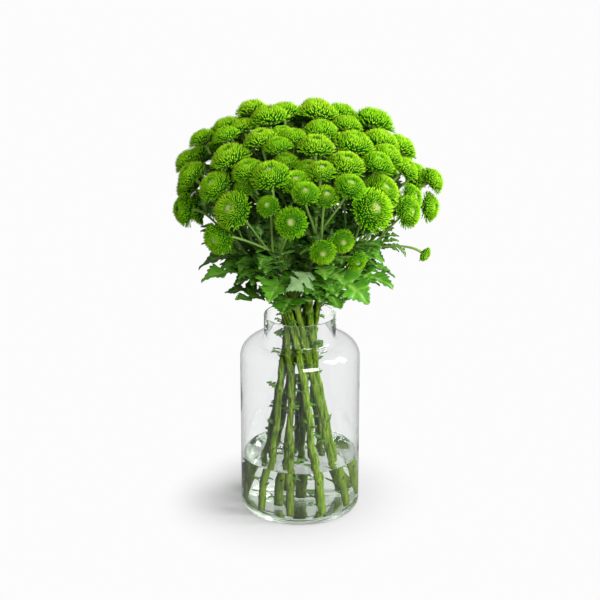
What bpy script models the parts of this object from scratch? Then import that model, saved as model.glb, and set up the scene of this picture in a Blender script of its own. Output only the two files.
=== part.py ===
"""Green button chrysanthemums, cut as sprays, standing in a glass jar of water.

Metres, +Z up. The origin is the middle of the jar's foot, on the surface that it stands on, and
-Y is the front. A bearing goes round the jar in degrees: 0 is the front and 90 the right-hand side.

Each spray is a cane with two flowering side shoots, the lower and the upper one, of four flowers.
The flowers' places are planned first, as a florist looks at the dome, and the stalks and canes are
led to them. The leaves come last, in the widest gaps that are left.
"""

import math
from itertools import product

import bmesh
import bpy
import numpy as np

MM = 0.001
GAP = 0.3 * MM  # between two pieces that touch

# The jar: a milk-bottle shape of clear glass.
JAR_HEIGHT = 250 * MM
JAR_RADIUS = 72.5 * MM
JAR_WALL = 3 * MM
JAR_FLOOR = 7 * MM
FOOT_ROUND = 9 * MM
FLOOR_ROUND = 7 * MM
NECK_RADIUS = 43.5 * MM
NECK_HEIGHT = 31 * MM
NECK_FILLET = 4 * MM
SHOULDER_DROP = 23 * MM
JAR_SIDES = 36

WATER_LEVEL = 71 * MM

# The dome of flowers: an ellipsoid that the flowers' middles lie on.
DOME_HEIGHT = 394 * MM
DOME_RADIUS = 143 * MM
DOME_RISE = 108 * MM
TURN_UP = 0.2  # how far a flower turns from the dome's own normal to the light above
TURN_FRONT = 0.4  # and to the front

# The flowers in sight from the front, by hand: bearing, climb up the dome, radius in mm, reach.
FRONT_FLOWERS = (
    (120, 80, 21, 1.00), (-130, 80, 18, 1.00), (-75, 75, 21, 1.00),
    (25, 67, 19, 1.00), (70, 66, 16, 1.00), (-22, 68, 14, 0.97), (125, 63, 18, 1.00), (-128, 61, 18, 1.02),
    (-7, 64, 15, 0.96), (-37, 59, 18, 1.00), (-84, 62, 15, 0.98), (175, 68, 16, 0.93),
    (12, 54, 19, 1.00), (46, 54, 21, 1.00), (-16, 54, 15, 0.97),
    (80, 47, 20, 1.00), (112, 52, 23, 1.04), (-68, 52, 15, 1.05), (-106, 50, 17, 1.02), (-9, 49, 14, 0.95),
    (-51, 43, 21, 1.00), (66, 40, 17, 1.00), (30, 42, 19, 1.00), (3, 44, 14, 0.96),
    (-31, 37, 17, 0.98), (-16, 36, 20, 1.03), (13, 39, 15, 0.97), (-1, 34, 16, 0.99), (50, 36, 17, 1.00),
    (97, 36, 22, 1.03), (-100, 38, 16, 1.03),
    (-33, 30, 13, 0.93), (-49, 25, 18, 1.00), (-98, 25, 18, 1.05), (2, 27, 16, 1.00), (15, 26, 15, 0.98),
    (25, 29, 18, 1.00), (49, 24, 19, 0.98), (76, 27, 18, 1.00),
    (-75, 23, 19, 1.01), (-16, 18, 13, 0.97), (90, 17, 17, 1.03), (70, 9, 17, 1.00),
    (37, 13, 22, 1.00), (-34, 13, 20, 1.00), (-4, 9, 18, 1.00), (86, 13, 17, 1.13),
    (61, 4, 19, 1.00), (82, -1, 18, 1.09), (-80, -3, 20, 0.98), (-42, -8, 17, 1.00),
    (11, -10, 15, 1.00), (20, -6, 14, 0.97), (30, -22, 11, 0.98), (80, -28, 10, 1.19),
)
# Those behind, in rows: climb, first bearing, last bearing, how many.
BACK_ROWS = ((-13, 108, 252, 10), (4, 112, 257, 11), (21, 114, 248, 9), (38, 121, 240, 7), (55, 140, 220, 4))
BACK_RADII = (20, 18, 22, 19, 21)
BACK_REACHES = (1.0, 0.96, 1.03, 0.97, 1.02, 0.99, 1.01)

# A flower head's outline from the stalk up: share of its radius across, and along its axis.
HEAD_OUTLINE = ((0.5, -0.54), (1.0, -0.12), (0.88, 0.24), (0.44, 0.45))
HEAD_FOOT = -0.64  # where the stalk ends, under the head
HEAD_SIDES = 7

# The canes, in mm: those of the outer sprays and those of the three in the middle.
OUTER_SPRAYS = 9
INNER_SPRAYS = 3
LOWER_FLOWERS = 4
UPPER_FLOWERS = 4
SPRAY = LOWER_FLOWERS + UPPER_FLOWERS
CANE_FOOT_RADIUS = 4.5 * MM
CANE_WAIST_RADIUS = 3.9 * MM
CANE_TOP_RADIUS = 2.9 * MM
CANE_TOP_HEIGHT = 350 * MM
WAIST_HEIGHT = 236 * MM
OUTER_ROUTE = {"foot": 53 * MM, "waist": 18 * MM, "crown": 48 * MM, "height": 326 * MM}
INNER_ROUTE = {"foot": 23 * MM, "waist": 6.5 * MM, "crown": 17 * MM, "height": 360 * MM}
FOOT_TWIST = 60  # degrees from waist to foot, and below from waist to crown
CROWN_TWIST = -40
CANE_SIDES = 8

LOWER_SHOOT_DROP = 30 * MM  # below the cane's top
SHOOT_RADIUS = 2.2 * MM
STALK_RADIUS = 1.35 * MM
HUB_SHARE = 0.5  # of the way from a shoot's foot to its flowers

# The leaves: cane, height on it in mm, and the slope that the leaf leaves it at, in degrees.
LEAVES_PER_CANE = (3, 2, 3, 2, 3, 2, 3, 2, 2)
LEAF_HEIGHTS = (270 * MM, 292 * MM, 311 * MM)
LEAF_SLOPES = (26, 32, 20)
LEAF_LENGTHS = (68 * MM, 82 * MM, 84 * MM)
# The ways that a leaf can lie: its size, and its turn, lift and roll in degrees.
LEAF_CHOICES = ((1, 0.85, 0.7), range(-56, 57, 14), (-12, 0, 12), (-40, -20, 0, 20, 40))
LEAF_THICKNESS = 1.2 * MM
LEAF_DROOP = 1.0  # radians that a leaf bends down over, to its tip
LEAF_FOLD = 0.2  # how far the edges rise, as a share of the width
# A lobed leaf's half width along it, as shares of its length.
LEAF_OUTLINE = ((0.0, 0.014), (0.2, 0.018), (0.30, 0.19), (0.37, 0.13), (0.53, 0.33),
                (0.60, 0.19), (0.76, 0.24), (0.83, 0.13), (1.0, 0.012))


def spot(bearing, radius, height):
    """A point at that bearing, distance from the jar's axis and height."""
    turn = math.radians(bearing)
    return np.array((radius * math.sin(turn), -radius * math.cos(turn), height))


def unit(v):
    return v / np.linalg.norm(v)


def hermite(start, end, leaving, arriving, count):
    """count points from start to end, with those end tangents."""
    t = np.linspace(0, 1, count)[:, None]
    return (
        (2 * t**3 - 3 * t**2 + 1) * start
        + (t**3 - 2 * t**2 + t) * leaving
        + (3 * t**2 - 2 * t**3) * end
        + (t**3 - t**2) * arriving
    )


# ---------------------------------------------------------------- the plan


def flower_wishes():
    """Bearing, climb, radius in mm and reach of each flower, as first wished for."""
    wishes = list(FRONT_FLOWERS)
    for climb, first, last, count in BACK_ROWS:
        for bearing in np.linspace(first, last, count):
            n = len(wishes)
            radius = BACK_RADII[n % len(BACK_RADII)]
            wishes.append((bearing, climb, radius, BACK_REACHES[n % len(BACK_REACHES)]))
    return wishes


def dome_place(bearing, climb, reach):
    up = math.radians(climb)
    return spot(bearing, DOME_RADIUS * reach * math.cos(up), DOME_HEIGHT + DOME_RISE * reach * math.sin(up))


def facing(places):
    """The way that flowers at these places face."""
    across = places / (DOME_RADIUS, DOME_RADIUS, DOME_RISE) ** np.array(2.0)
    across[:, 2] -= DOME_HEIGHT / DOME_RISE**2
    across /= np.linalg.norm(across, axis=1)[:, None]
    across += (0, -TURN_FRONT, TURN_UP)
    return across / np.linalg.norm(across, axis=1)[:, None]


def settled(places, radii, rounds=240):
    """The flowers after they have pushed each other aside, as discs that don't overlap."""
    home = places.copy()
    for turn in range(rounds):
        axes = facing(places)
        apart = places[:, None] - places[None]
        axis = axes[:, None] + axes[None]
        axis /= np.linalg.norm(axis, axis=2)[..., None]
        along = (apart * axis).sum(2)
        across = apart - along[..., None] * axis
        both = radii[:, None] + radii[None]
        wide, thick = both + 2 * GAP, 0.52 * both + 2 * GAP
        nearness = np.sqrt((across**2).sum(2) / wide**2 + (along / thick) ** 2)
        np.fill_diagonal(nearness, 9)
        slope = across / wide[..., None] ** 2 + (along / thick**2)[..., None] * axis
        slope /= np.maximum(np.linalg.norm(slope, axis=2), 1e-9)[..., None]
        push = np.clip(1 - nearness, 0, None) * thick
        places = places + 0.35 * (slope * push[..., None]).sum(1)
        if turn < rounds - 60:
            places += 0.03 * (home - places)
    return places


def planned_flowers():
    """Each flower as a dict: its middle, axis, radius, bearing and climb."""
    wishes = flower_wishes()
    radii = np.array([w[2] * MM for w in wishes])
    places = settled(np.array([dome_place(w[0], w[1], w[3]) for w in wishes]), radii)
    flowers = []
    for place, axis, radius, wish in zip(places, facing(places), radii, wishes):
        bearing = math.degrees(math.atan2(place[0], -place[1])) % 360
        flowers.append({"place": place, "axis": axis, "radius": radius, "bearing": bearing, "climb": wish[1]})
    return flowers


def shared_out(flowers, sprays):
    """The flowers of each spray, which are next to each other round the dome."""
    by_bearing = sorted(flowers, key=lambda f: f["bearing"])
    return [by_bearing[n * SPRAY : (n + 1) * SPRAY] for n in range(sprays)]


def middle_of(flowers):
    return np.mean([f["place"] for f in flowers], axis=0)


def cane_path(route, waist_bearing, crown_bearing):
    foot = spot(waist_bearing + FOOT_TWIST, route["foot"], JAR_FLOOR + 4 * GAP)
    waist = spot(waist_bearing, route["waist"], WAIST_HEIGHT)
    crown = spot(crown_bearing, route["crown"], route["height"])
    rise, spread = waist - foot, crown - waist
    bend = unit(unit(rise) + unit(spread))
    low = hermite(foot, waist, rise, bend * np.linalg.norm(rise), 6)
    outwards = spread + 0.35 * (spread * (1, 1, 0))
    high = hermite(waist, crown, bend * np.linalg.norm(spread), outwards, 5)
    return np.vstack((low, high[1:]))


def cane_radius(height):
    """A cane's radius at that height: it tapers evenly to the waist, and faster above it."""
    return np.interp(
        height,
        (JAR_FLOOR, WAIST_HEIGHT, CANE_TOP_HEIGHT),
        (CANE_FOOT_RADIUS, CANE_WAIST_RADIUS, CANE_TOP_RADIUS),
    )


def on_path(path, height):
    """The point of a path at that height, and the way that the path goes there."""
    point = np.array([np.interp(height, path[:, 2], path[:, k]) for k in range(3)])
    n = min(int(np.searchsorted(path[:, 2], height)), len(path) - 1)
    return point, unit(path[n] - path[n - 1])


def clear_start(point, along, towards, own_radius):
    """Where a stalk that leaves a cane in that direction begins, clear of the cane by the gap."""
    stem_radius = 0.96 * cane_radius(point[2])
    cosine = abs(float(np.dot(along, towards)))
    sine = math.sqrt(1 - cosine**2)
    return point + towards * ((stem_radius + GAP + own_radius * cosine) / sine)


def shoot_plan(start, leaving, flowers):
    """A flowering side shoot: its own stem, and a stalk to each flower, as lists of points."""
    middle = middle_of(flowers)
    hub = start + HUB_SHARE * (middle - start)
    reach = np.linalg.norm(hub - start)
    stem = hermite(start, hub, leaving * reach, unit(middle - start) * reach, 5)
    stalks = []
    order = sorted(flowers, key=lambda f: -np.linalg.norm(f["place"] - hub))
    for step, flower in zip((2, 3, 3, 4), order):
        foot = stem[step]
        end = flower["place"] + HEAD_FOOT * flower["radius"] * flower["axis"]
        span = np.linalg.norm(end - foot)
        along = unit(stem[step] - stem[step - 1])
        away = unit(0.5 * along + unit(end - foot)) * span
        stalks.append({"flower": flower, "path": hermite(foot, end, away, flower["axis"] * span * 0.9, 3)})
    return {"stem": stem, "stalks": stalks}


def planned_sprays():
    """Each spray's cane and its two shoots."""
    flowers = sorted(planned_flowers(), key=lambda f: f["climb"])
    outer = flowers[: OUTER_SPRAYS * SPRAY]
    inner = flowers[OUTER_SPRAYS * SPRAY :]
    sprays = []
    for group, count, route in ((outer, OUTER_SPRAYS, OUTER_ROUTE), (inner, INNER_SPRAYS, INNER_ROUTE)):
        shares = shared_out(group, count)
        middles = [middle_of(share) for share in shares]
        crowns = np.unwrap([math.atan2(m[0], -m[1]) for m in middles])
        crowns = np.degrees(crowns)
        even = 360 / count * np.arange(count)
        start = float(np.mean(crowns - even)) - CROWN_TWIST
        for n, share in enumerate(shares):
            path = cane_path(route, start + even[n], crowns[n])
            share = sorted(share, key=lambda f: f["climb"])
            low, high = share[:LOWER_FLOWERS], share[LOWER_FLOWERS:]
            ahead = unit(path[-1] - path[-2])
            top = path[-1] + ahead * GAP
            point, along = on_path(path, path[-1][2] - LOWER_SHOOT_DROP)
            towards = unit(middle_of(low) - point)
            side = clear_start(point, along, towards, SHOOT_RADIUS)
            sprays.append({
                "cane": path,
                "lower": shoot_plan(side, towards, low),
                "upper": shoot_plan(top, ahead, high),
            })
    return sprays


# ---------------------------------------------------------------- solids


def swept(path, radii, sides):
    """Vertices and faces of a closed round bar along path, with that radius at each point."""
    tangents = np.gradient(path, axis=0)
    tangents /= np.linalg.norm(tangents, axis=1)[:, None]
    side = np.cross(tangents[0], (0.3, 0.9, 0.1))
    rings = []
    turns = 2 * math.pi * np.arange(sides) / sides
    for point, tangent, radius in zip(path, tangents, radii):
        side = unit(side - np.dot(side, tangent) * tangent)
        other = np.cross(tangent, side)
        rings.append(point + radius * (np.outer(np.cos(turns), side) + np.outer(np.sin(turns), other)))
    faces = [tuple(range(sides))[::-1]]
    for n in range(len(path) - 1):
        a, b = n * sides, (n + 1) * sides
        faces += [(a + k, a + (k + 1) % sides, b + (k + 1) % sides, b + k) for k in range(sides)]
    last = (len(path) - 1) * sides
    faces.append(tuple(range(last, last + sides)))
    return np.vstack(rings), faces


def stalk_with_flower(stalk):
    """One bar from the shoot to the top of the flower head, which it swells into."""
    flower = stalk["flower"]
    size, axis = flower["radius"], flower["axis"]
    head = [flower["place"] + up * size * axis for _, up in HEAD_OUTLINE]
    path = np.vstack((stalk["path"], head))
    radii = [STALK_RADIUS] * len(stalk["path"]) + [across * size for across, _ in HEAD_OUTLINE]
    return swept(path, radii, HEAD_SIDES)


def new_object(name, vertices, faces, material):
    mesh = bpy.data.meshes.new(name)
    mesh.from_pydata([tuple(v) for v in vertices], [], faces)
    mesh.update()
    mesh.shade_smooth()
    mesh.set_sharp_from_angle(angle=math.radians(40))
    mesh.materials.append(material)
    made = bpy.data.objects.new(name, mesh)
    bpy.context.scene.collection.objects.link(made)
    return made


def combined(name, solids, material, operation="UNION"):
    """The first solid joined with the others, or with them cut out of it."""
    base = new_object(name, *solids[0], material)
    helpers = [new_object(f"{name}_helper", *solid, material) for solid in solids[1:]]
    for helper in helpers:
        modifier = base.modifiers.new(helper.name, "BOOLEAN")
        modifier.operation = operation
        modifier.object = helper
    graph = bpy.context.evaluated_depsgraph_get()
    mesh = bpy.data.meshes.new_from_object(base.evaluated_get(graph))
    base.modifiers.clear()
    base.data = mesh
    for helper in helpers:
        bpy.data.objects.remove(helper)
    return base


def material(name, colour, roughness, see_through=0.0, ior=1.45):
    made = bpy.data.materials.new(name)
    made.use_nodes = True
    shader = made.node_tree.nodes["Principled BSDF"]
    shader.inputs["Base Color"].default_value = (*colour, 1)
    shader.inputs["Roughness"].default_value = roughness
    shader.inputs["Transmission Weight"].default_value = see_through
    shader.inputs["IOR"].default_value = ior
    return made


def arc(centre, radii, start, end, count):
    """Points of an elliptic arc in the turning plane, with angles in degrees."""
    turns = np.radians(np.linspace(start, end, count))
    return [(centre[0] + radii[0] * math.cos(t), centre[1] + radii[1] * math.sin(t)) for t in turns]


def turned(profile, sides):
    """Vertices and faces of a solid turned from a profile that starts and ends on the axis."""
    shape = bmesh.new()
    rail = [shape.verts.new((x, 0, z)) for x, z in profile]
    edges = [shape.edges.new(pair) for pair in zip(rail, rail[1:])]
    bmesh.ops.spin(
        shape, geom=rail + edges, cent=(0, 0, 0), axis=(0, 0, 1), angle=2 * math.pi, steps=sides, use_merge=True
    )
    bmesh.ops.remove_doubles(shape, verts=shape.verts, dist=0.01 * MM)
    bmesh.ops.recalc_face_normals(shape, faces=shape.faces)
    vertices = [tuple(v.co) for v in shape.verts]
    faces = [tuple(v.index for v in f.verts) for f in shape.faces]
    shape.free()
    return vertices, faces


def jar_outline(inset, floor, corner):
    """The jar's side from its floor to its neck, drawn in by inset."""
    side = JAR_RADIUS - inset
    neck = NECK_RADIUS - inset
    shoulder = JAR_HEIGHT - NECK_HEIGHT - SHOULDER_DROP
    fillet = NECK_FILLET + inset
    run = side - neck - fillet
    points = arc((side - corner, floor + corner), (corner, corner), -90, 0, 5)
    points += arc((neck + fillet, shoulder), (run, SHOULDER_DROP - inset), 0, 90, 8)
    top = shoulder + SHOULDER_DROP - inset
    points += arc((neck + fillet, top + fillet), (fillet, fillet), 270, 180, 4)[1:]
    return points


def jar_solid():
    outside = jar_outline(0, 0, FOOT_ROUND)
    inside = jar_outline(JAR_WALL, JAR_FLOOR, FLOOR_ROUND)
    lip = JAR_WALL / 2
    rim = arc((NECK_RADIUS - lip, JAR_HEIGHT - lip), (lip, lip), 0, 180, 5)
    return turned([(0, 0)] + outside + rim + inside[::-1] + [(0, JAR_FLOOR)], JAR_SIDES)


def water_solid():
    inset = JAR_WALL + GAP
    floor = JAR_FLOOR + GAP
    bowl = arc((JAR_RADIUS - inset - FLOOR_ROUND, floor + FLOOR_ROUND), (FLOOR_ROUND, FLOOR_ROUND), -90, 0, 4)
    return turned([(0, floor)] + bowl + [(JAR_RADIUS - inset, WATER_LEVEL), (0, WATER_LEVEL)], JAR_SIDES)


def hole_for(cane):
    """A bar round the cane's wet end, with room for it, that runs past the water both ways."""
    path = cane[:4].copy()
    path[0] -= 0.4 * (path[1] - path[0])
    return swept(path, cane_radius(path[:, 2]) + 2 * GAP, CANE_SIDES)


# ---------------------------------------------------------------- leaves


def leaf_frame(base, bearing, slope, roll, length):
    """A leaf's midrib, its width's direction and its upper side's, at each step of its outline."""
    shares = np.array([share for share, _ in LEAF_OUTLINE])
    droop = np.radians(slope) - LEAF_DROOP * shares**1.5
    outwards = spot(bearing, 1, 0)
    across = np.cross(outwards, (0, 0, 1))
    tangents = np.outer(np.cos(droop), outwards) + np.outer(np.sin(droop), (0, 0, 1))
    steps = np.diff(shares, prepend=0)[:, None] * length * tangents
    ribs = base + np.cumsum(steps, axis=0)
    above = np.cross(across, tangents)
    turn = math.radians(roll) * np.clip(shares / 0.3, 0, 1)[:, None]
    widths = np.cos(turn) * across + np.sin(turn) * above
    return ribs, widths, np.cross(widths, tangents)


def leaf_solid(ribs, widths, uppers, length):
    vertices = []
    for rib, width, upper, (_, half) in zip(ribs, widths, uppers, LEAF_OUTLINE):
        edge = half * length
        lift = LEAF_FOLD * edge * upper
        core = min(LEAF_THICKNESS / 2, 0.6 * edge)
        vertices += [rib - edge * width + lift, rib - core * upper, rib + edge * width + lift, rib + core * upper]
    faces = [(0, 1, 2, 3)]
    for n in range(len(LEAF_OUTLINE) - 1):
        a, b = 4 * n, 4 * n + 4
        faces += [(b + k, b + (k + 1) % 4, a + (k + 1) % 4, a + k) for k in range(4)]
    last = 4 * (len(LEAF_OUTLINE) - 1)
    faces.append((last + 3, last + 2, last + 1, last))
    return vertices, faces


def leaf_points(ribs, widths, uppers, length):
    """Points all over a leaf's blade."""
    steps = np.linspace(0.7, len(LEAF_OUTLINE) - 1, 20)
    points = []
    for share in (-1, -0.5, 0, 0.5, 1):
        edge = np.array([half * length * share for _, half in LEAF_OUTLINE])[:, None]
        line = ribs + edge * widths + abs(edge) * LEAF_FOLD * uppers
        points.append(np.column_stack([np.interp(steps, range(len(line)), line[:, k]) for k in range(3)]))
    return np.vstack(points)


def filled_in(path, step=5 * MM):
    """Points along a path no further apart than step."""
    runs = [np.linspace(a, b, max(2, int(np.linalg.norm(b - a) / step) + 1)) for a, b in zip(path, path[1:])]
    return np.vstack(runs)


def obstacles(sprays):
    """Points with a radius that fill the canes, stalks and flower heads."""
    points, sizes = [], []
    for spray in sprays:
        cane = filled_in(spray["cane"])
        points.append(cane)
        sizes.append(cane_radius(cane[:, 2]))
        for shoot in (spray["lower"], spray["upper"]):
            for path in [shoot["stem"]] + [stalk["path"] for stalk in shoot["stalks"]]:
                run = filled_in(path)
                points.append(run)
                sizes.append(np.full(len(run), SHOOT_RADIUS))
            for flower in (stalk["flower"] for stalk in shoot["stalks"]):
                rim = flower["place"] + 0.62 * flower["radius"] * ring_round(flower["axis"], 10)
                points += [rim, flower["place"][None]]
                sizes.append(np.full(len(rim) + 1, 0.42 * flower["radius"]))
    return np.vstack(points), np.concatenate(sizes)


def ring_round(axis, count):
    side = unit(np.cross(axis, (0.3, 0.9, 0.1)))
    turns = 2 * math.pi * np.arange(count) / count
    return np.outer(np.cos(turns), side) + np.outer(np.sin(turns), np.cross(axis, side))


def clearance(points, fixed, sizes):
    gaps = np.linalg.norm(points[:, None] - fixed[None], axis=2) - sizes[None]
    return float(gaps.min())


def planned_leaves(sprays):
    """Each leaf's frame and length: of the ways that it could lie, the one in the widest gap."""
    fixed, sizes = obstacles(sprays)
    leaves = []
    slots = [
        (n, tier)
        for tier in range(len(LEAF_HEIGHTS))
        for n in range(OUTER_SPRAYS)
        if tier < LEAVES_PER_CANE[n]
    ]
    for n, tier in slots:
        cane = sprays[n]["cane"]
        height = LEAF_HEIGHTS[tier] + (n % 3 - 1) * 4 * MM
        point, along = on_path(cane, height)
        home = math.degrees(math.atan2(point[0], -point[1]))
        length = LEAF_LENGTHS[tier] * (1, 0.9, 1.08)[(n + tier) % 3]
        near = np.linalg.norm(fixed - point, axis=1) < 1.2 * length
        best = None
        for size, offset, lift, roll in product(*LEAF_CHOICES):
            bearing, slope = home + offset, LEAF_SLOPES[tier] + lift
            start_way = spot(bearing, math.cos(math.radians(slope)), math.sin(math.radians(slope)))
            if abs(float(np.dot(along, start_way))) > 0.8:
                continue
            base = clear_start(point, along, start_way, 0.014 * length)
            frame = leaf_frame(base, bearing, slope, roll, size * length)
            room = clearance(leaf_points(*frame, size * length), fixed[near], sizes[near])
            strain = 30 * (1 - size) + 0.01 * (abs(offset) + 2 * abs(lift) + abs(roll))
            score = min(room, 3 * MM) * 4 - strain * MM
            if best is None or score > best[0]:
                best = (score, room, frame, size * length)
        leaves.append({"frame": best[2], "length": best[3], "room": best[1]})
        points = leaf_points(*best[2], best[3])
        fixed = np.vstack((fixed, points))
        sizes = np.concatenate((sizes, np.full(len(points), LEAF_THICKNESS)))
    return leaves


# ---------------------------------------------------------------- the object


def main():
    for old in list(bpy.data.objects):
        bpy.data.objects.remove(old)
    glass = material("clear_glass", (0.93, 0.97, 0.95), 0.02, see_through=1, ior=1.5)
    water = material("water", (0.93, 0.97, 0.95), 0.0, see_through=1, ior=1.33)
    stem_green = material("cane_green", (0.24, 0.38, 0.10), 0.55)
    flower_green = material("button_green", (0.30, 0.56, 0.03), 0.6)
    leaf_green = material("leaf_green", (0.07, 0.22, 0.04), 0.5)

    sprays = planned_sprays()
    new_object("jar", *jar_solid(), glass)
    holes = [hole_for(spray["cane"]) for spray in sprays]
    combined("water", [water_solid()] + holes, water, "DIFFERENCE")
    for n, spray in enumerate(sprays, 1):
        cane = spray["cane"]
        new_object(f"stem_{n:02d}", *swept(cane, cane_radius(cane[:, 2]), CANE_SIDES), stem_green)
        for level in ("lower", "upper"):
            shoot = spray[level]
            radii = np.linspace(SHOOT_RADIUS, STALK_RADIUS * 1.1, len(shoot["stem"]))
            bars = [swept(shoot["stem"], radii, HEAD_SIDES)]
            bars += [stalk_with_flower(stalk) for stalk in shoot["stalks"]]
            combined(f"{level}_shoot_{n:02d}", bars, flower_green)
    for n, leaf in enumerate(planned_leaves(sprays), 1):
        new_object(f"leaf_{n:02d}", *leaf_solid(*leaf["frame"], leaf["length"]), leaf_green)


main()
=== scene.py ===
"""The looks of a bunch of green button chrysanthemums in a glass jar of water.

It is laid out as an add-on and is run as a script. Each operator makes one kind of piece round the
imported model, in metres, with +Z up, the jar's foot at the origin and the front towards -Y. A
bearing goes round the jar in degrees: 0 is the front and 90 the right-hand side.
"""

import math

import bpy
import numpy as np
from bpy.props import FloatProperty, FloatVectorProperty, IntProperty, PointerProperty
from mathutils import Matrix, Vector


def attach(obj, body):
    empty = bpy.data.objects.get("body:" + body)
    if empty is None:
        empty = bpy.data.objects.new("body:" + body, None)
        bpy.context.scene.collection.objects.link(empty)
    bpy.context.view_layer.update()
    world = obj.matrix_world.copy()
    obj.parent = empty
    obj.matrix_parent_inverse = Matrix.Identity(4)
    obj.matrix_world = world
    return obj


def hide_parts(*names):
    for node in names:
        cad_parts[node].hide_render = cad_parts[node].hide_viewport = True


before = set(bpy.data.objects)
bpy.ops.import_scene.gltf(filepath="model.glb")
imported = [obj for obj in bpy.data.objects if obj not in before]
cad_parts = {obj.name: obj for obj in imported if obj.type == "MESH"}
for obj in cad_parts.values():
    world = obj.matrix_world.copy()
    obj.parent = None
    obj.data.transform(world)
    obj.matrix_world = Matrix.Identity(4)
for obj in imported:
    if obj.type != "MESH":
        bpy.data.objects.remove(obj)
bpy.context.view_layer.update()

bl_info = {
    "name": "Button chrysanthemums in a jar",
    "version": (1, 0, 0),
    "blender": (4, 5, 0),
    "location": "3D View > Sidebar > Posy",
    "description": "Makes the flowers, canes, leaves, jar, water and stage round the packed model",
    "category": "Object",
}

MM = 0.001
GAP = 0.3 * MM  # the clearance that the solids keep from each other
GOLDEN = math.pi * (3 - math.sqrt(5))  # the turn from one floret to the next

# ------------------------------------------------------------ the plan, as the solids have it

JAR_HEIGHT = 250 * MM
JAR_RADIUS = 72.5 * MM
JAR_WALL = 3 * MM
JAR_FLOOR = 7 * MM
FOOT_ROUND = 9 * MM
FLOOR_ROUND = 7 * MM
NECK_RADIUS = 43.5 * MM
NECK_HEIGHT = 31 * MM
NECK_FILLET = 4 * MM
SHOULDER_DROP = 23 * MM
WATER_LEVEL = 71 * MM

DOME_HEIGHT = 394 * MM
DOME_RADIUS = 143 * MM
DOME_RISE = 108 * MM
TURN_UP = 0.2  # how far flowers lean up, and then to the front, from straight out of the dome
TURN_FRONT = 0.4
SKY_START, SKY_RUN = 395 * MM, 75 * MM  # from here, and over this rise, the open heads turn to the sky
SKY_TURN = (0, 0.42, 0.35)
SETTLE_ROUNDS = 240
HOMING_ROUNDS = 180  # the first rounds, in which each flower is also drawn back to its wished place
HEAD_THICKNESS = 0.52  # of a head while it settles, as a share of its radius

# The flowers in sight from the front: bearing, climb up the dome in degrees, radius in mm, and how far
# out they reach, as a share of the dome.
FRONT_FLOWERS = (
    (120, 80, 21, 1.00), (-130, 80, 18, 1.00), (-75, 75, 21, 1.00),
    (25, 67, 19, 1.00), (70, 66, 16, 1.00), (-22, 68, 14, 0.97), (125, 63, 18, 1.00), (-128, 61, 18, 1.02),
    (-7, 64, 15, 0.96), (-37, 59, 18, 1.00), (-84, 62, 15, 0.98), (175, 68, 16, 0.93),
    (12, 54, 19, 1.00), (46, 54, 21, 1.00), (-16, 54, 15, 0.97),
    (80, 47, 20, 1.00), (112, 52, 23, 1.04), (-68, 52, 15, 1.05), (-106, 50, 17, 1.02), (-9, 49, 14, 0.95),
    (-51, 43, 21, 1.00), (66, 40, 17, 1.00), (30, 42, 19, 1.00), (3, 44, 14, 0.96),
    (-31, 37, 17, 0.98), (-16, 36, 20, 1.03), (13, 39, 15, 0.97), (-1, 34, 16, 0.99), (50, 36, 17, 1.00),
    (97, 36, 22, 1.03), (-100, 38, 16, 1.03),
    (-33, 30, 13, 0.93), (-49, 25, 18, 1.00), (-98, 25, 18, 1.05), (2, 27, 16, 1.00), (15, 26, 15, 0.98),
    (25, 29, 18, 1.00), (49, 24, 19, 0.98), (76, 27, 18, 1.00),
    (-75, 23, 19, 1.01), (-16, 18, 13, 0.97), (90, 17, 17, 1.03), (70, 9, 17, 1.00),
    (37, 13, 22, 1.00), (-34, 13, 20, 1.00), (-4, 9, 18, 1.00), (86, 13, 17, 1.13),
    (61, 4, 19, 1.00), (82, -1, 18, 1.09), (-80, -3, 20, 0.98), (-42, -8, 17, 1.00),
    (11, -10, 15, 1.00), (20, -6, 14, 0.97), (30, -22, 11, 0.98), (80, -28, 10, 1.19),
)
# Rows of flowers round the back: climb, first and last bearing, count.
BACK_ROWS = ((-13, 108, 252, 10), (4, 112, 257, 11), (21, 114, 248, 9), (38, 121, 240, 7), (55, 140, 220, 4))
# Their radii in millimetres and their reaches as shares of the dome, each taken in turn.
BACK_RADII = (20, 18, 22, 19, 21)
BACK_REACHES = (1.0, 0.96, 1.03, 0.97, 1.02, 0.99, 1.01)
HEAD_FOOT = -0.64  # where a stalk meets its head, along the head's axis from its middle, in radii

OUTER_SPRAYS = 9
INNER_SPRAYS = 3
LOWER_FLOWERS = 4
UPPER_FLOWERS = 4
SPRAY = LOWER_FLOWERS + UPPER_FLOWERS
CANE_FOOT_RADIUS = 4.5 * MM
CANE_WAIST_RADIUS = 3.9 * MM
CANE_TOP_RADIUS = 2.9 * MM
CANE_TOP_HEIGHT = 350 * MM
WAIST_HEIGHT = 236 * MM
OUTER_ROUTE = {"foot": 53 * MM, "waist": 18 * MM, "crown": 48 * MM, "height": 326 * MM}
INNER_ROUTE = {"foot": 23 * MM, "waist": 6.5 * MM, "crown": 17 * MM, "height": 360 * MM}
FOOT_TWIST = 60  # how far round the jar a cane's foot, and then its crown, is from its waist
CROWN_TWIST = -40

LOWER_SHOOT_DROP = 30 * MM  # how far under its cane's top the lower side shoot leaves it
SHOOT_RADIUS = 2.2 * MM
STALK_RADIUS = 1.35 * MM
HUB_SHARE = 0.5  # how far a shoot's own stem goes towards the middle of its flowers
STALK_STEPS = (8, 12, 12, 16)  # the points of a shoot's stem at which its stalks leave it

LEAF_COUNT = 22


def spot(bearing, radius, height):
    """A point at that bearing, distance from the jar's axis and height."""
    turn = math.radians(bearing)
    return np.array((radius * math.sin(turn), -radius * math.cos(turn), height))


def unit(v):
    """The direction of v."""
    return v / np.linalg.norm(v)


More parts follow.
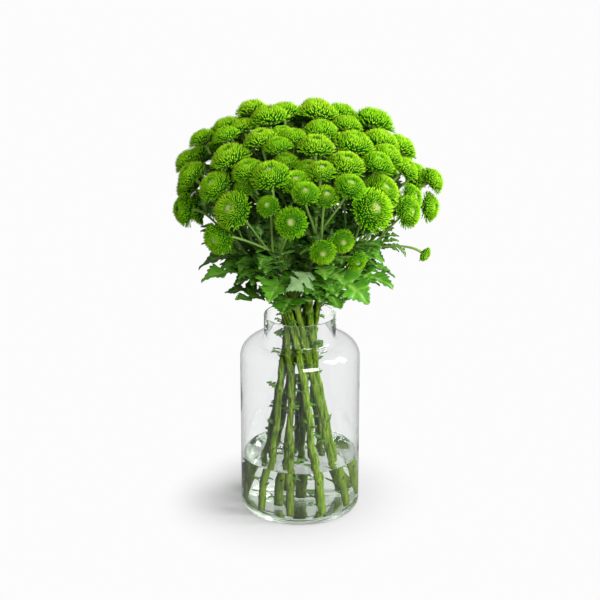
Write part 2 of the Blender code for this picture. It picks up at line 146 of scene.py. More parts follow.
def hermite(start, end, leaving, arriving, count):
    """count points from start to end, with those end tangents."""
    t = np.linspace(0, 1, count)[:, None]
    return (
        (2 * t**3 - 3 * t**2 + 1) * start
        + (t**3 - 2 * t**2 + t) * leaving
        + (3 * t**2 - 2 * t**3) * end
        + (t**3 - t**2) * arriving
    )


def flower_wishes():
    """Where each flower would like to be, with its size."""
    wishes = list(FRONT_FLOWERS)
    for climb, first, last, count in BACK_ROWS:
        for bearing in np.linspace(first, last, count):
            n = len(wishes)
            radius = BACK_RADII[n % len(BACK_RADII)]
            wishes.append((bearing, climb, radius, BACK_REACHES[n % len(BACK_REACHES)]))
    return wishes


def dome_place(bearing, climb, reach):
    """The point at that bearing and climb, out to that share of the dome."""
    up = math.radians(climb)
    return spot(bearing, DOME_RADIUS * reach * math.cos(up), DOME_HEIGHT + DOME_RISE * reach * math.sin(up))


def facing(places):
    """The way that flowers at these places face."""
    across = places / (DOME_RADIUS, DOME_RADIUS, DOME_RISE) ** np.array(2.0)
    across[:, 2] -= DOME_HEIGHT / DOME_RISE**2
    across /= np.linalg.norm(across, axis=1)[:, None]
    across += (0, -TURN_FRONT, TURN_UP)
    return across / np.linalg.norm(across, axis=1)[:, None]


def looking_up(places):
    """The way that the open heads face: as their solids do, but the higher ones more to the sky."""
    high = np.clip((places[:, 2] - SKY_START) / SKY_RUN, 0, 1)[:, None]
    axes = facing(places) + high * SKY_TURN
    return axes / np.linalg.norm(axes, axis=1)[:, None]


def settled(places, radii):
    """The flowers after they have pushed each other aside, as thick discs that don't overlap."""
    home = places.copy()
    for turn in range(SETTLE_ROUNDS):
        axes = facing(places)
        apart = places[:, None] - places[None]
        axis = axes[:, None] + axes[None]
        axis /= np.linalg.norm(axis, axis=2)[..., None]
        along = (apart * axis).sum(2)
        across = apart - along[..., None] * axis
        both = radii[:, None] + radii[None]
        wide, thick = both + 2 * GAP, HEAD_THICKNESS * both + 2 * GAP
        nearness = np.sqrt((across**2).sum(2) / wide**2 + (along / thick) ** 2)
        np.fill_diagonal(nearness, 9)  # no flower pushes itself
        slope = across / wide[..., None] ** 2 + (along / thick**2)[..., None] * axis
        slope /= np.maximum(np.linalg.norm(slope, axis=2), 1e-9)[..., None]
        push = np.clip(1 - nearness, 0, None) * thick
        places = places + 0.35 * (slope * push[..., None]).sum(1)
        if turn < HOMING_ROUNDS:
            places += 0.03 * (home - places)
    return places


def planned_flowers():
    """Each flower's settled place, axis and radius, and where it is round the dome and up it."""
    wishes = flower_wishes()
    radii = np.array([w[2] * MM for w in wishes])
    places = settled(np.array([dome_place(w[0], w[1], w[3]) for w in wishes]), radii)
    flowers = []
    for place, axis, radius, wish in zip(places, looking_up(places), radii, wishes):
        bearing = math.degrees(math.atan2(place[0], -place[1])) % 360
        flowers.append({"place": place, "axis": axis, "radius": radius, "bearing": bearing, "climb": wish[1]})
    return flowers


def shared_out(flowers, sprays):
    """The flowers of each spray, which are next to each other round the dome."""
    by_bearing = sorted(flowers, key=lambda f: f["bearing"])
    return [by_bearing[n * SPRAY : (n + 1) * SPRAY] for n in range(sprays)]


def middle_of(flowers):
    """The middle of these flowers' places."""
    return np.mean([f["place"] for f in flowers], axis=0)


def cane_path(route, waist_bearing, crown_bearing, low_count, high_count):
    """A cane's line from the jar's floor through the neck and out, with that many points in each part."""
    foot = spot(waist_bearing + FOOT_TWIST, route["foot"], JAR_FLOOR + 4 * GAP)
    waist = spot(waist_bearing, route["waist"], WAIST_HEIGHT)
    crown = spot(crown_bearing, route["crown"], route["height"])
    rise, spread = waist - foot, crown - waist
    bend = unit(unit(rise) + unit(spread))
    low = hermite(foot, waist, rise, bend * np.linalg.norm(rise), low_count)
    outwards = spread + 0.35 * (spread * (1, 1, 0))
    high = hermite(waist, crown, bend * np.linalg.norm(spread), outwards, high_count)
    return np.vstack((low, high[1:]))


def cane_radius(height):
    """A cane's radius at that height: it tapers evenly to the waist, and faster above it."""
    return np.interp(
        height,
        (JAR_FLOOR, WAIST_HEIGHT, CANE_TOP_HEIGHT),
        (CANE_FOOT_RADIUS, CANE_WAIST_RADIUS, CANE_TOP_RADIUS),
    )


def on_path(path, height):
    """The point of a path at that height, and the way that the path goes there."""
    point = np.array([np.interp(height, path[:, 2], path[:, k]) for k in range(3)])
    n = min(int(np.searchsorted(path[:, 2], height)), len(path) - 1)
    return point, unit(path[n] - path[n - 1])


def clear_start(point, along, towards, own_radius):
    """Where a stalk that leaves a cane in that direction begins."""
    cosine = abs(float(np.dot(along, towards)))
    sine = math.sqrt(1 - cosine**2)
    return point + towards * ((0.96 * cane_radius(point[2]) + GAP + own_radius * cosine) / sine)


def shoot_plan(start, leaving, flowers):
    """A side shoot's own stem, and a stalk to each flower, as lists of points."""
    middle = middle_of(flowers)
    hub = start + HUB_SHARE * (middle - start)
    reach = np.linalg.norm(hub - start)
    stem = hermite(start, hub, leaving * reach, unit(middle - start) * reach, 17)
    stalks = []
    order = sorted(flowers, key=lambda f: -np.linalg.norm(f["place"] - hub))
    for step, flower in zip(STALK_STEPS, order):
        foot = stem[step]
        end = flower["place"] + HEAD_FOOT * flower["radius"] * flower["axis"]
        span = np.linalg.norm(end - foot)
        along = unit(stem[step] - stem[step - 4])
        away = unit(0.5 * along + unit(end - foot)) * span
        stalks.append({"flower": flower, "path": hermite(foot, end, away, flower["axis"] * span * 0.9, 13)})
    return {"stem": stem, "stalks": stalks}


def planned_sprays():
    """Each spray's cane and its two shoots."""
    flowers = sorted(planned_flowers(), key=lambda f: f["climb"])
    outer = flowers[: OUTER_SPRAYS * SPRAY]
    inner = flowers[OUTER_SPRAYS * SPRAY :]
    sprays = []
    for group, count, route in ((outer, OUTER_SPRAYS, OUTER_ROUTE), (inner, INNER_SPRAYS, INNER_ROUTE)):
        shares = shared_out(group, count)
        middles = [middle_of(share) for share in shares]
        crowns = np.degrees(np.unwrap([math.atan2(m[0], -m[1]) for m in middles]))
        even = 360 / count * np.arange(count)
        start = float(np.mean(crowns - even)) - CROWN_TWIST
        for n, share in enumerate(shares):
            rough = cane_path(route, start + even[n], crowns[n], 6, 5)
            share = sorted(share, key=lambda f: f["climb"])
            low, high = share[:LOWER_FLOWERS], share[LOWER_FLOWERS:]
            ahead = unit(rough[-1] - rough[-2])
            top = rough[-1] + ahead * GAP
            point, along = on_path(rough, rough[-1][2] - LOWER_SHOOT_DROP)
            towards = unit(middle_of(low) - point)
            side = clear_start(point, along, towards, SHOOT_RADIUS)
            sprays.append({
                "cane": cane_path(route, start + even[n], crowns[n], 76, 31),
                "lower": shoot_plan(side, towards, low),
                "upper": shoot_plan(top, ahead, high),
            })
    return sprays


SPRAYS = planned_sprays()
LEVELS = ("lower", "upper")
FLOWERS = [stalk["flower"] for spray in SPRAYS for level in LEVELS for stalk in spray[level]["stalks"]]

# ------------------------------------------------------------ materials

MIX_COLOURS = {"data_type": "RGBA"}
DARKEN = {"data_type": "RGBA", "blend_type": "MULTIPLY"}
BLACK, WHITE = (0, 0, 0), (1, 1, 1)


def linear(code):
    """An sRGB hex colour as linear red, green and blue."""
    values = [int(code[n : n + 2], 16) / 255 for n in (1, 3, 5)]
    return [v / 12.92 if v <= 0.04045 else ((v + 0.055) / 1.055) ** 2.4 for v in values]


def node(tree, kind, settings=None, links=None, stops=()):
    """A new node: its settings, its inputs' values or sources, and a ramp's stops as (place, colour)."""
    made = tree.nodes.new(kind)
    for key, value in (settings or {}).items():
        setattr(made, key, value)
    for key, source in (links or {}).items():
        target = made.inputs[key]
        if isinstance(source, bpy.types.NodeSocket):
            tree.links.new(source, target)
        else:
            target.default_value = (*source, 1) if target.type == "RGBA" else source
    for _ in stops[2:]:
        made.color_ramp.elements.new(0.5)
    for n, (place, colour) in enumerate(stops):
        made.color_ramp.elements[n].position = place
        made.color_ramp.elements[n].color = (*colour, 1)
    return made


def new_material(name):
    """An empty material and its node tree."""
    made = bpy.data.materials.new(name)
    made.use_nodes = True
    made.node_tree.nodes.clear()
    return made, made.node_tree


def painted(tree):
    """The three painting values that a mesh carries at each point."""
    attribute = node(tree, "ShaderNodeAttribute", {"attribute_name": "paint"})
    return node(tree, "ShaderNodeSeparateColor", links={0: attribute.outputs["Color"]}).outputs


def mottle(tree, size_mm, detail=3, stretch=(1, 1, 1)):
    """Soft noise with patches of that size, or longer along an axis whose stretch is under 1."""
    place = node(tree, "ShaderNodeNewGeometry").outputs["Position"]
    place = node(tree, "ShaderNodeVectorMath", {"operation": "MULTIPLY"}, {0: place, 1: stretch}).outputs[0]
    values = {"Vector": place, "Scale": 1000 / size_mm, "Detail": detail}
    return node(tree, "ShaderNodeTexNoise", links=values).outputs["Fac"]


def solid_surface(tree, colour, roughness, specular, relief=None, depth_mm=0.0):
    """The material's shader, with that relief pressed into its skin to that depth."""
    values = {"Base Color": colour, "Roughness": roughness, "Specular IOR Level": specular}
    if relief:
        pressed = {"Height": relief, "Distance": depth_mm * MM, "Strength": 1.0}
        values["Normal"] = node(tree, "ShaderNodeBump", links=pressed).outputs[0]
    shader = node(tree, "ShaderNodeBsdfPrincipled", links=values)
    node(tree, "ShaderNodeOutputMaterial", links={"Surface": shader.outputs[0]})


def clear_surface(tree, tint, refraction, wave_mm, depth_mm, lamp_share):
    """A smooth clear shader with long low waves, which gives way to straight light from the lamps."""
    waves = {"Height": mottle(tree, wave_mm, 1), "Distance": depth_mm * MM, "Strength": 1.0}
    values = {
        "Base Color": tint,
        "Roughness": 0.0,
        "IOR": refraction,
        "Transmission Weight": 1.0,
        "Normal": node(tree, "ShaderNodeBump", links=waves).outputs[0],
    }
    shader = node(tree, "ShaderNodeBsdfPrincipled", links=values).outputs[0]
    # Lamps shine straight through each skin with this share of their light, so that what is inside is lit.
    straight = node(tree, "ShaderNodeBsdfTransparent", links={"Color": lamp_share}).outputs[0]
    shadow = node(tree, "ShaderNodeLightPath").outputs["Is Shadow Ray"]
    both = node(tree, "ShaderNodeMixShader", links={0: shadow, 1: shader, 2: straight})
    node(tree, "ShaderNodeOutputMaterial", links={"Surface": both.outputs[0]})


# ------------------------------------------------------------ meshes

TILE_MARGIN = 0.05  # left free round each solid's bake tile, as a share of the tile


class Body:
    """The points, faces, paint and bake tiles of one piece, as its solids are added."""

    def __init__(self):
        """Nothing yet."""
        self.points, self.paint, self.faces, self.places, self.tiles = [], [], [], [], []
        self.count = 0

    def add(self, points, faces, places, paint):
        """One solid. places is each face's corners within the solid's own bake tile, from 0 to 1."""
        self.tiles += [len(self.points)] * len(faces)
        self.points.append(np.asarray(points, float))
        self.paint.append(np.asarray(paint, float))
        self.faces += [tuple(int(k) + self.count for k in face) for face in faces]
        self.places += places
        self.count += len(points)

    def add_turned(self, profile, steps, paint=(0, 0, 0)):
        """A solid turned from that profile, painted with the same three values all over."""
        points, faces, places = turned(profile, steps)
        self.add(points, faces, places, np.tile(paint, (len(points), 1)))

    def mesh(self, name, material):
        """The mesh of it all, smooth, with its paint and its bake tiles."""
        made = bpy.data.meshes.new(name)
        points, paint = np.vstack(self.points), np.vstack(self.paint)
        made.from_pydata(points.tolist(), [], self.faces)
        made.shade_smooth()
        attribute = made.attributes.new("paint", "FLOAT_COLOR", "POINT")
        attribute.data.foreach_set("color", np.column_stack((paint, np.ones(len(paint)))).ravel())
        side = math.ceil(math.sqrt(len(self.points)))
        tiles = np.repeat(self.tiles, [len(face) for face in self.faces])
        corners = np.array([place for face in self.places for place in face])
        corners = corners * (1 - 2 * TILE_MARGIN) + TILE_MARGIN
        corners = (corners + np.column_stack((tiles % side, tiles // side))) / side
        layer = made.uv_layers.new(name="OFBake")
        layer.uv.foreach_set("vector", corners.astype(np.float32).ravel())
        made.materials.append(material)
        return made


def place_piece(name, mesh, slot, *nodes):
    """The piece in the scene, riding on the part, in place of those solids."""
    made = linked(name, mesh)
    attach(made, "root")
    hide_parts(*nodes)
    return made


def place_body(name, body, material, slot, *nodes):
    """That body as a piece, unless nothing was added to it."""
    if body.count:
        place_piece(name, body.mesh(name, material), slot, *nodes)


def linked(name, data):
    """A new object in the scene."""
    made = bpy.data.objects.new(name, data)
    bpy.context.scene.collection.objects.link(made)
    return made


def grid_faces(rows, columns, first=0):
    """The quads and tile places of a tube's skin, whose rows of points close on themselves."""
    faces, places = [], []
    for r in range(rows - 1):
        for c in range(columns):
            a, b = first + r * columns, first + (r + 1) * columns
            d = (c + 1) % columns
            faces.append((a + c, a + d, b + d, b + c))
            u, w = c / columns, (c + 1) / columns
            v, x = r / rows, (r + 1) / rows
            places.append([(u, v), (w, v), (w, x), (u, x)])
    return faces, places


def cap(indices, level):
    """A face over those points, with its places in a corner of the tile."""
    turns = [2 * math.pi * k / len(indices) for k in range(len(indices))]
    return tuple(indices), [(0.5 + 0.03 * math.cos(t), level + 0.01 * math.sin(t)) for t in turns]


def frames_along(path):
    """Tangents and two crosswise directions at each point of a path, without twist."""
    tangents = np.gradient(path, axis=0)
    tangents /= np.linalg.norm(tangents, axis=1)[:, None]
    side = np.cross(tangents[0], (0.3, 0.9, 0.1))
    sides = []
    for tangent in tangents:
        side = unit(side - np.dot(side, tangent) * tangent)
        sides.append(side)
    sides = np.array(sides)
    return tangents, sides, np.cross(tangents, sides)


def add_tube(body, path, radii, sides, paint, ribs=0, rib_depth=0.0):
    """A closed bar along path. paint gives three values for each of its points along the way."""
    _, across, other = frames_along(path)
    turns = 2 * math.pi * np.arange(sides) / sides
    swell = 1 + rib_depth * np.cos(ribs * turns)
    rings = path[:, None] + np.asarray(radii)[:, None, None] * swell[None, :, None] * (
        np.cos(turns)[None, :, None] * across[:, None] + np.sin(turns)[None, :, None] * other[:, None]
    )
    points = rings.reshape(-1, 3)
    values = np.repeat(np.asarray(paint, float), sides, axis=0)
    faces, places = grid_faces(len(path), sides)
    last = (len(path) - 1) * sides
    for ends, level in ((range(sides - 1, -1, -1), 0.0), (range(last, last + sides), 1.0)):
        face, corner = cap(list(ends), level)
        faces.append(face)
        places.append(corner)
    body.add(points, faces, places, values)


def turned(profile, steps):
    """The points, faces and tile places of a profile that starts and ends on the axis, turned round it."""
    inner = profile[1:-1]
    turns = 2 * math.pi * np.arange(steps) / steps
    points = [(r * math.cos(t), r * math.sin(t), z) for r, z in inner for t in turns]
    faces, places = grid_faces(len(inner), steps)
    start, end = len(points), len(points) + 1
    points += [(0, 0, profile[0][1]), (0, 0, profile[-1][1])]
    last = (len(inner) - 1) * steps
    for k in range(steps):
        d = (k + 1) % steps
        faces += [(start, d, k), (end, last + k, last + d)]
        places += [[(0.5, 0), (d / steps, 0), (k / steps, 0)], [(0.5, 1), (k / steps, 1), (d / steps, 1)]]
    return np.array(points), faces, places


def arc(centre, radii, start, end, count):
    """Points of an elliptic arc in the turning plane, with angles in degrees."""
    turns = np.radians(np.linspace(start, end, count))
    return [(centre[0] + radii[0] * math.cos(t), centre[1] + radii[1] * math.sin(t)) for t in turns]


# ------------------------------------------------------------ the jar and the water

LIP_THICKNESS = 1.5 * MM  # the neck's wall thins up to its fire-polished lip
# The jar's underside, pushed up in the middle: distance from the axis and height, in millimetres.
PUSH_UP = ((0, 1.6), (36, 1.3), (52, 0.6), (58, 0.15))
CORNER_POINTS = 10  # in each quarter round of the jar's outline
WATER_BITE = 0.25 * MM  # the water runs this far into the glass, so that no film of air is between them
MENISCUS = 3.5 * MM  # how wide the water's climb at the wall is
MENISCUS_RISE = 1.6 * MM


def glass_material(settings):
    """Soda-lime glass, pressed in a mould and fire polished: clear, smooth, its wall never quite even."""
    made, tree = new_material("soda_lime_glass")
    clear_surface(tree, settings.glass_tint, 1.5, 45, 0.25, (0.98, 0.99, 0.985))
    return made


def jar_outline(inset, floor, corner):
    """The jar's side from its floor to its neck, drawn in by inset."""
    side = JAR_RADIUS - inset
    neck = NECK_RADIUS - inset
    shoulder = JAR_HEIGHT - NECK_HEIGHT - SHOULDER_DROP
    fillet = NECK_FILLET + inset
    run = side - neck - fillet
    points = arc((side - corner, floor + corner), (corner, corner), -90, 0, CORNER_POINTS)
    points += arc((neck + fillet, shoulder), (run, SHOULDER_DROP - inset), 0, 90, 2 * CORNER_POINTS)
    top = shoulder + SHOULDER_DROP - inset
    points += arc((neck + fillet, top + fillet), (fillet, fillet), 270, 180, CORNER_POINTS)[1:]
    return points


def make_jar(settings):
    """The glass jar, turned in one piece."""
    outside = jar_outline(0, 0, FOOT_ROUND)
    inside = jar_outline(JAR_WALL, JAR_FLOOR, FLOOR_ROUND)
    lip = LIP_THICKNESS / 2
    rim = arc((NECK_RADIUS - lip, JAR_HEIGHT - lip), (lip, lip), 0, 180, 11)
    push_up = [(radius * MM, height * MM) for radius, height in PUSH_UP]
    body = Body()
    body.add_turned(push_up + outside + rim + inside[::-1] + [(0, JAR_FLOOR)], settings.steps)
    place_body("glass_jar", body, glass_material(settings), "clear_glass", "jar")


def water_material(settings):
    """Tap water, still: clear, and faintly green from the cut stems that stand in it."""
    made, tree = new_material("still_water")
    clear_surface(tree, settings.tint, 1.333, 30, 0.1, (0.985, 0.995, 0.98))
    return made


def make_water(settings):
    """The water, from the jar's floor up to its meniscus."""
    wall = JAR_RADIUS - JAR_WALL + WATER_BITE
    floor = JAR_FLOOR - WATER_BITE
    bowl = arc((wall - FLOOR_ROUND, floor + FLOOR_ROUND), (FLOOR_ROUND, FLOOR_ROUND), -90, 0, CORNER_POINTS)
    level = WATER_LEVEL - MENISCUS_RISE
    inward = np.linspace(0, 1, 8)
    climb = [(wall - MENISCUS * t, WATER_LEVEL - MENISCUS_RISE * t**3) for t in inward]
    # Two points close under the edge keep its shading sharp.
    edge = [(wall, WATER_LEVEL - 1.0 * MM), (wall, WATER_LEVEL - 0.2 * MM)]
    body = Body()
    body.add_turned([(0, floor), *bowl, *edge, *climb, (wall * 0.5, level), (0, level)], settings.steps)
    place_body("jar_water", body, water_material(settings), "water", "water")


# ------------------------------------------------------------ the canes

RIBS = 5
RIB_DEPTH = 0.045  # of a cane's radius
CANE_SIDES = 15
JOINT_GAPS = (17, 27)  # between one joint and the next, in millimetres
JOINT_LENGTH = 2.2 * MM
JOINT_TURN = 2.4  # how far round, in radians, each joint's leaf grew from the one below
LOWEST_JOINT = -8 * MM  # the first joint is this much nearer to the cut foot than a whole gap
LAST_JOINT = 6 * MM  # and none is nearer than this to the top
BEND = 1.0 * MM  # how far each slow bend takes a cane off its line
BEND_LENGTHS = (150, 85, 48)  # of the bends, in millimetres
FLOOR_FADE, WAIST_FADE, TOP_FADE = 40 * MM, 60 * MM, 40 * MM  # the heights over which they die away
WET_EDGE = 3 * MM  # how far the water's damp shows above and below its level
SCRAPS_END = 286 * MM  # above this the leaves were left on
TRIMMED_CLOSE = 190 * MM  # below this the canes were stripped more closely
SCRAP_SIZES = (10 * MM, 19 * MM)
RUNNER_STARTS = (150, 205)  # how high the stripped side shoots leave their canes, in millimetres
RUNNER_END = 332
STUB_RADII = (1.7, 1.3, 1.0, 0.8, 0.5)  # of a trimmed leaf's stub, in millimetres


def cane_material(settings):
    """Green chrysanthemum cane: ribbed, half woody bark with a waxy bloom, satin and a little uneven."""
    made, tree = new_material("green_cane_bark")
    near_joint, wet, tone = painted(tree)[:3]
    streaks = mottle(tree, 2.2, 3, (1, 1, 0.09))  # a rib is about 2 mm wide, and a streak ten times as long
    source = {"Fac": streaks}
    dry = ((0.3, settings.bark_dark), (0.55, settings.bark), (0.75, settings.bark_light))
    dry = node(tree, "ShaderNodeValToRGB", links=source, stops=dry).outputs[0]
    soaked = ((0.3, settings.wet_dark), (0.7, settings.wet))
    soaked = node(tree, "ShaderNodeValToRGB", links=source, stops=soaked).outputs[0]
    colour = node(tree, "ShaderNodeMix", MIX_COLOURS, {0: wet, 6: dry, 7: soaked}).outputs[2]
    swollen = {0: near_joint, 6: colour, 7: settings.joint}
    colour = node(tree, "ShaderNodeMix", MIX_COLOURS, swollen).outputs[2]
    shade = node(tree, "ShaderNodeMapRange", links={0: tone, 3: 0.7, 4: 1.15}).outputs[0]
    shade = node(tree, "ShaderNodeCombineColor", links={0: shade, 1: shade, 2: shade}).outputs[0]
    colour = node(tree, "ShaderNodeMix", DARKEN, {0: 1.0, 6: colour, 7: shade}).outputs[2]
    solid_surface(tree, colour, 0.45, 0.08, streaks, 0.35)
    return made


def cane_joints(seed, length):
    """How far along a cane its joints are, and the cane's own random draw."""
    draw = np.random.default_rng(seed)
    steps = draw.uniform(*JOINT_GAPS, 20) * MM
    places = np.cumsum(steps) + LOWEST_JOINT
    return places[places < length - LAST_JOINT], draw


def wandering(path, draw):
    """The path with a cane's own slow bends, which die away at the floor, at the waist and above."""
    height = path[:, 2]
    free = np.clip((height - JAR_FLOOR) / FLOOR_FADE, 0, 1)
    free *= np.clip((WAIST_HEIGHT - height) / WAIST_FADE, 0.12, 1)
    free *= np.clip((CANE_TOP_HEIGHT - TOP_FADE - height) / TOP_FADE, 0, 1)
    for side in (0, 1):
        wave = sum(
            draw.uniform(0.4, 1) * np.sin(2 * math.pi * height / (length * MM) + draw.uniform(0, 2 * math.pi))
            for length in BEND_LENGTHS
        )
        path = path + np.outer(BEND * free * wave, np.eye(3)[side])
    return path


def make_canes(settings, leaf_skin):
    """The canes, each with its joints, its trimmed stubs, a stripped side shoot and scraps of leaf."""
    bark = cane_material(settings)
    for n, spray in enumerate(SPRAYS, 1):
        path = wandering(spray["cane"], np.random.default_rng(60 + n))
        lengths = np.concatenate(([0], np.cumsum(np.linalg.norm(np.diff(path, axis=0), axis=1))))
        joints, draw = cane_joints(n, lengths[-1])
        swell = np.exp(-(((lengths[:, None] - joints) / JOINT_LENGTH) ** 2)).max(1)
        radii = cane_radius(path[:, 2]) * (0.97 + settings.joint_swell * swell)
        wet = np.clip((WATER_LEVEL - path[:, 2]) / WET_EDGE, 0, 1)
        tone = draw.uniform(0, 1)
        body, scraps = Body(), Body()
        paint = np.column_stack((0.6 * swell**3, wet, np.full(len(path), tone)))
        add_tube(body, path, radii, CANE_SIDES, paint, RIBS, RIB_DEPTH)
        add_runner(body, path, 1 if n % 3 else -1, np.random.default_rng(90 + n))
        at_joints = [int(np.argmin(abs(lengths - joint))) for joint in joints]
        add_trimmings(body, scraps, path, radii, at_joints, wet, tone, draw)
        place_body(f"cane_{n:02d}", body, bark, "cane_green", f"stem_{n:02d}")
        place_body(f"cane_scraps_{n:02d}", scraps, leaf_skin, "leaf_green", f"stem_{n:02d}")


def add_trimmings(body, scraps, path, radii, at_joints, wet, tone, draw):
    """What stripping a cane left at its joints: a stub at each, and scraps of leaf at some."""
    tangents, across, other = frames_along(path)
    for k, at in enumerate(at_joints):
        if path[at, 2] > SCRAPS_END:
            continue
        turn = JOINT_TURN * k + draw.uniform(-0.4, 0.4)
        out = math.cos(turn) * across[at] + math.sin(turn) * other[at]
        add_stub(body, path[at] + out * radii[at] * 0.8, out, tangents[at], draw, wet[at], tone)
        chance = 1.0 if path[at, 2] > TRIMMED_CLOSE else 0.5
        for _ in range(int(draw.uniform() < chance) + int(draw.uniform() < 0.6 * chance)):
            turn = draw.uniform(0, 2 * math.pi)
            out = math.cos(turn) * across[at] + math.sin(turn) * other[at]
            size = draw.uniform(*SCRAP_SIZES)
            start, heading = path[at] + out * radii[at] * 0.9, unit(out + 0.9 * tangents[at])
            add_leaf(scraps, *small_frame(start, heading, 0.9, size), size, SCRAP_DETAIL, draw)


def add_runner(body, path, side, draw):
    """A thin side shoot, stripped bare, that runs up beside its cane from inside the jar to the leaves."""
    heights = np.linspace(draw.uniform(*RUNNER_STARTS), RUNNER_END, 14) * MM
    points = np.array([on_path(path, height)[0] for height in heights])
    outward = points * (1, 1, 0)
    outward /= np.linalg.norm(outward, axis=1)[:, None]
    beside = side * np.cross((0, 0, 1), outward)
    t = np.clip(np.linspace(0, 2.2, len(heights)), 0, 1)[:, None]
    out = t * t * (3 - 2 * t) * MM
    rise = np.linspace(0, 1, len(heights))[:, None] ** 2 * MM
    points = points + beside * (5.5 * out + 9 * rise) + outward * out * draw.uniform(-1.0, 2.5)
    paint = np.tile((0, 0, draw.uniform(0.3, 1)), (len(points), 1))
    add_tube(body, points, np.linspace(2.1, 1.5, len(points)) * MM, 8, paint)


def add_stub(body, start, out, along, draw, wet, tone):
    """The stub that a trimmed leaf leaves: a short, flat, upturned tongue."""
    reach = draw.uniform(3.0, 6.5) * MM
    t = np.linspace(0, 1, len(STUB_RADII))[:, None]
    path = start + out * reach * t + along * reach * 0.9 * t**1.6
    paint = np.tile((0.25, wet * 0.7, tone * 0.5), (len(path), 1))
    add_tube(body, path, np.array(STUB_RADII) * MM, 6, paint)


# ------------------------------------------------------------ leaves

# Half of a lobed leaf's edge, from its stalk to its tip: along and across, as shares of its length.
LEAF_EDGE = (
    (0.00, 0.011), (0.10, 0.011), (0.20, 0.014), (0.235, 0.035), (0.250, 0.085), (0.258, 0.128),
    (0.288, 0.130), (0.292, 0.180), (0.330, 0.212), (0.354, 0.178), (0.376, 0.192), (0.385, 0.145),
    (0.372, 0.085), (0.392, 0.056), (0.420, 0.068), (0.430, 0.140), (0.430, 0.212), (0.462, 0.216),
    (0.460, 0.285), (0.502, 0.290), (0.508, 0.355), (0.550, 0.345), (0.556, 0.284), (0.594, 0.298),
    (0.602, 0.240), (0.632, 0.238), (0.628, 0.170), (0.612, 0.095), (0.634, 0.074), (0.662, 0.090),
    (0.674, 0.165), (0.696, 0.186), (0.712, 0.245), (0.752, 0.246), (0.760, 0.190), (0.802, 0.204),
    (0.810, 0.144), (0.852, 0.150), (0.860, 0.090), (0.902, 0.102), (0.925, 0.050), (0.960, 0.050),
    (1.00, 0.004),
)
# The points of it that a small leaf keeps, which has no steps between them.
SMALL_EDGE = (0, 2, 4, 8, 11, 13, 16, 20, 24, 27, 29, 33, 37, 40, 42)
LEAF_STATIONS = (0.0, 0.2, 0.30, 0.37, 0.53, 0.60, 0.76, 0.83, 1.0)
SIDE_VEINS = (0.20, 0.36, 0.56, 0.74)  # where the side veins leave the midrib
VEIN_LEAN = 0.55  # how far forward they run, along for each across
LEAF_BLADE = 0.45 * MM
# A leaf's tone goes from 0, shaded deep in the bunch, to 1, young. Under the first of these limits the blade
# is darkened with painted shade, and over the second its underside is thick with pale down.
SHADE_TONE, FELT_TONE = 0.12, 0.95
TIP_REACH = 2.6 * MM  # the four corners at either end of a leaf's solid are this near each other
MIDRIB_HALF = 0.008  # the midrib's half width, as a share of the leaf's length
TIPWARD = slice(3, None)  # the stations of a leaf's frame that have to keep clear of the flowers
# The kinds of leaf: columns of faces on each side, steps from one point of the edge to the next, tones.
# The small leaves' low tones darken them with painted shade, for they sit deep in the bunch.
SMALL_DETAIL = {"columns": 2, "steps": 0, "tones": (0, 0.15)}
SCRAP_DETAIL = {"columns": 2, "steps": 0, "tones": (0.3, 1)}
SKIRT_DETAIL = {"columns": 2, "steps": 1, "tones": (0.12, 0.9)}
TURNED_DETAIL = {"columns": 3, "steps": 1, "tones": (1, 1)}
MIDDLE_DETAIL = {"columns": 3, "steps": 1, "tones": (0.12, 0.9)}
LARGE_DETAIL = {"columns": 4, "steps": 2, "tones": (0.12, 0.9)}


def leaf_material(settings):
    """Chrysanthemum leaf: a soft satin blade, dark above with paler sunk veins, grey with down below."""
    made, tree = new_material("satin_leaf_blade")
    vein, under, tone = painted(tree)[:3]
    patches = ((0.3, settings.top_dark), (0.7, settings.top_light))
    top = node(tree, "ShaderNodeValToRGB", links={"Fac": mottle(tree, 9, 3)}, stops=patches).outputs[0]
    top = node(tree, "ShaderNodeMix", MIX_COLOURS, {0: tone, 6: top, 7: settings.top_young}).outputs[2]
    top = node(tree, "ShaderNodeMix", MIX_COLOURS, {0: vein, 6: top, 7: settings.vein}).outputs[2]
    felted = node(tree, "ShaderNodeMapRange", links={0: tone, 1: FELT_TONE}).outputs[0]
    down = {0: felted, 6: settings.underside, 7: settings.felt}
    below = node(tree, "ShaderNodeMix", MIX_COLOURS, down).outputs[2]
    below = node(tree, "ShaderNodeMix", MIX_COLOURS, {0: vein, 6: below, 7: settings.under_vein}).outputs[2]
    both = node(tree, "ShaderNodeMix", MIX_COLOURS, {0: under, 6: top, 7: below}).outputs[2]
    # Painted shade: the leaves deep in the bunch, which have the lowest tones, are darkened.
    painted_shade = node(tree, "ShaderNodeMapRange", links={0: tone, 2: SHADE_TONE, 3: 0.45, 4: 1.0}).outputs[0]
    painted_shade = node(tree, "ShaderNodeCombineColor", links={0: painted_shade, 1: painted_shade, 2: painted_shade}).outputs[0]
    both = node(tree, "ShaderNodeMix", DARKEN, {0: 1.0, 6: both, 7: painted_shade}).outputs[2]
    rough = node(tree, "ShaderNodeMapRange", links={0: under, 3: 0.42, 4: 0.8}).outputs[0]
    solid_surface(tree, both, rough, 0.3, mottle(tree, 1.6, 3), 0.2)
    return made


def smooth_between(values, at):
    """Values at whole numbers 0, 1, 2... read at places between them, along a smooth curve."""
    last = len(values) - 1
    n = np.clip(np.floor(at).astype(int), 0, last - 1)
    t = (at - n)[:, None]
    before, after = np.maximum(n - 1, 0), np.minimum(n + 2, last)
    a, b, c, d = values[before], values[n], values[n + 1], values[after]
    return 0.5 * (2 * b + (c - a) * t + (2 * a - 5 * b + 4 * c - d) * t**2 + (3 * b - a - 3 * c + d) * t**3)


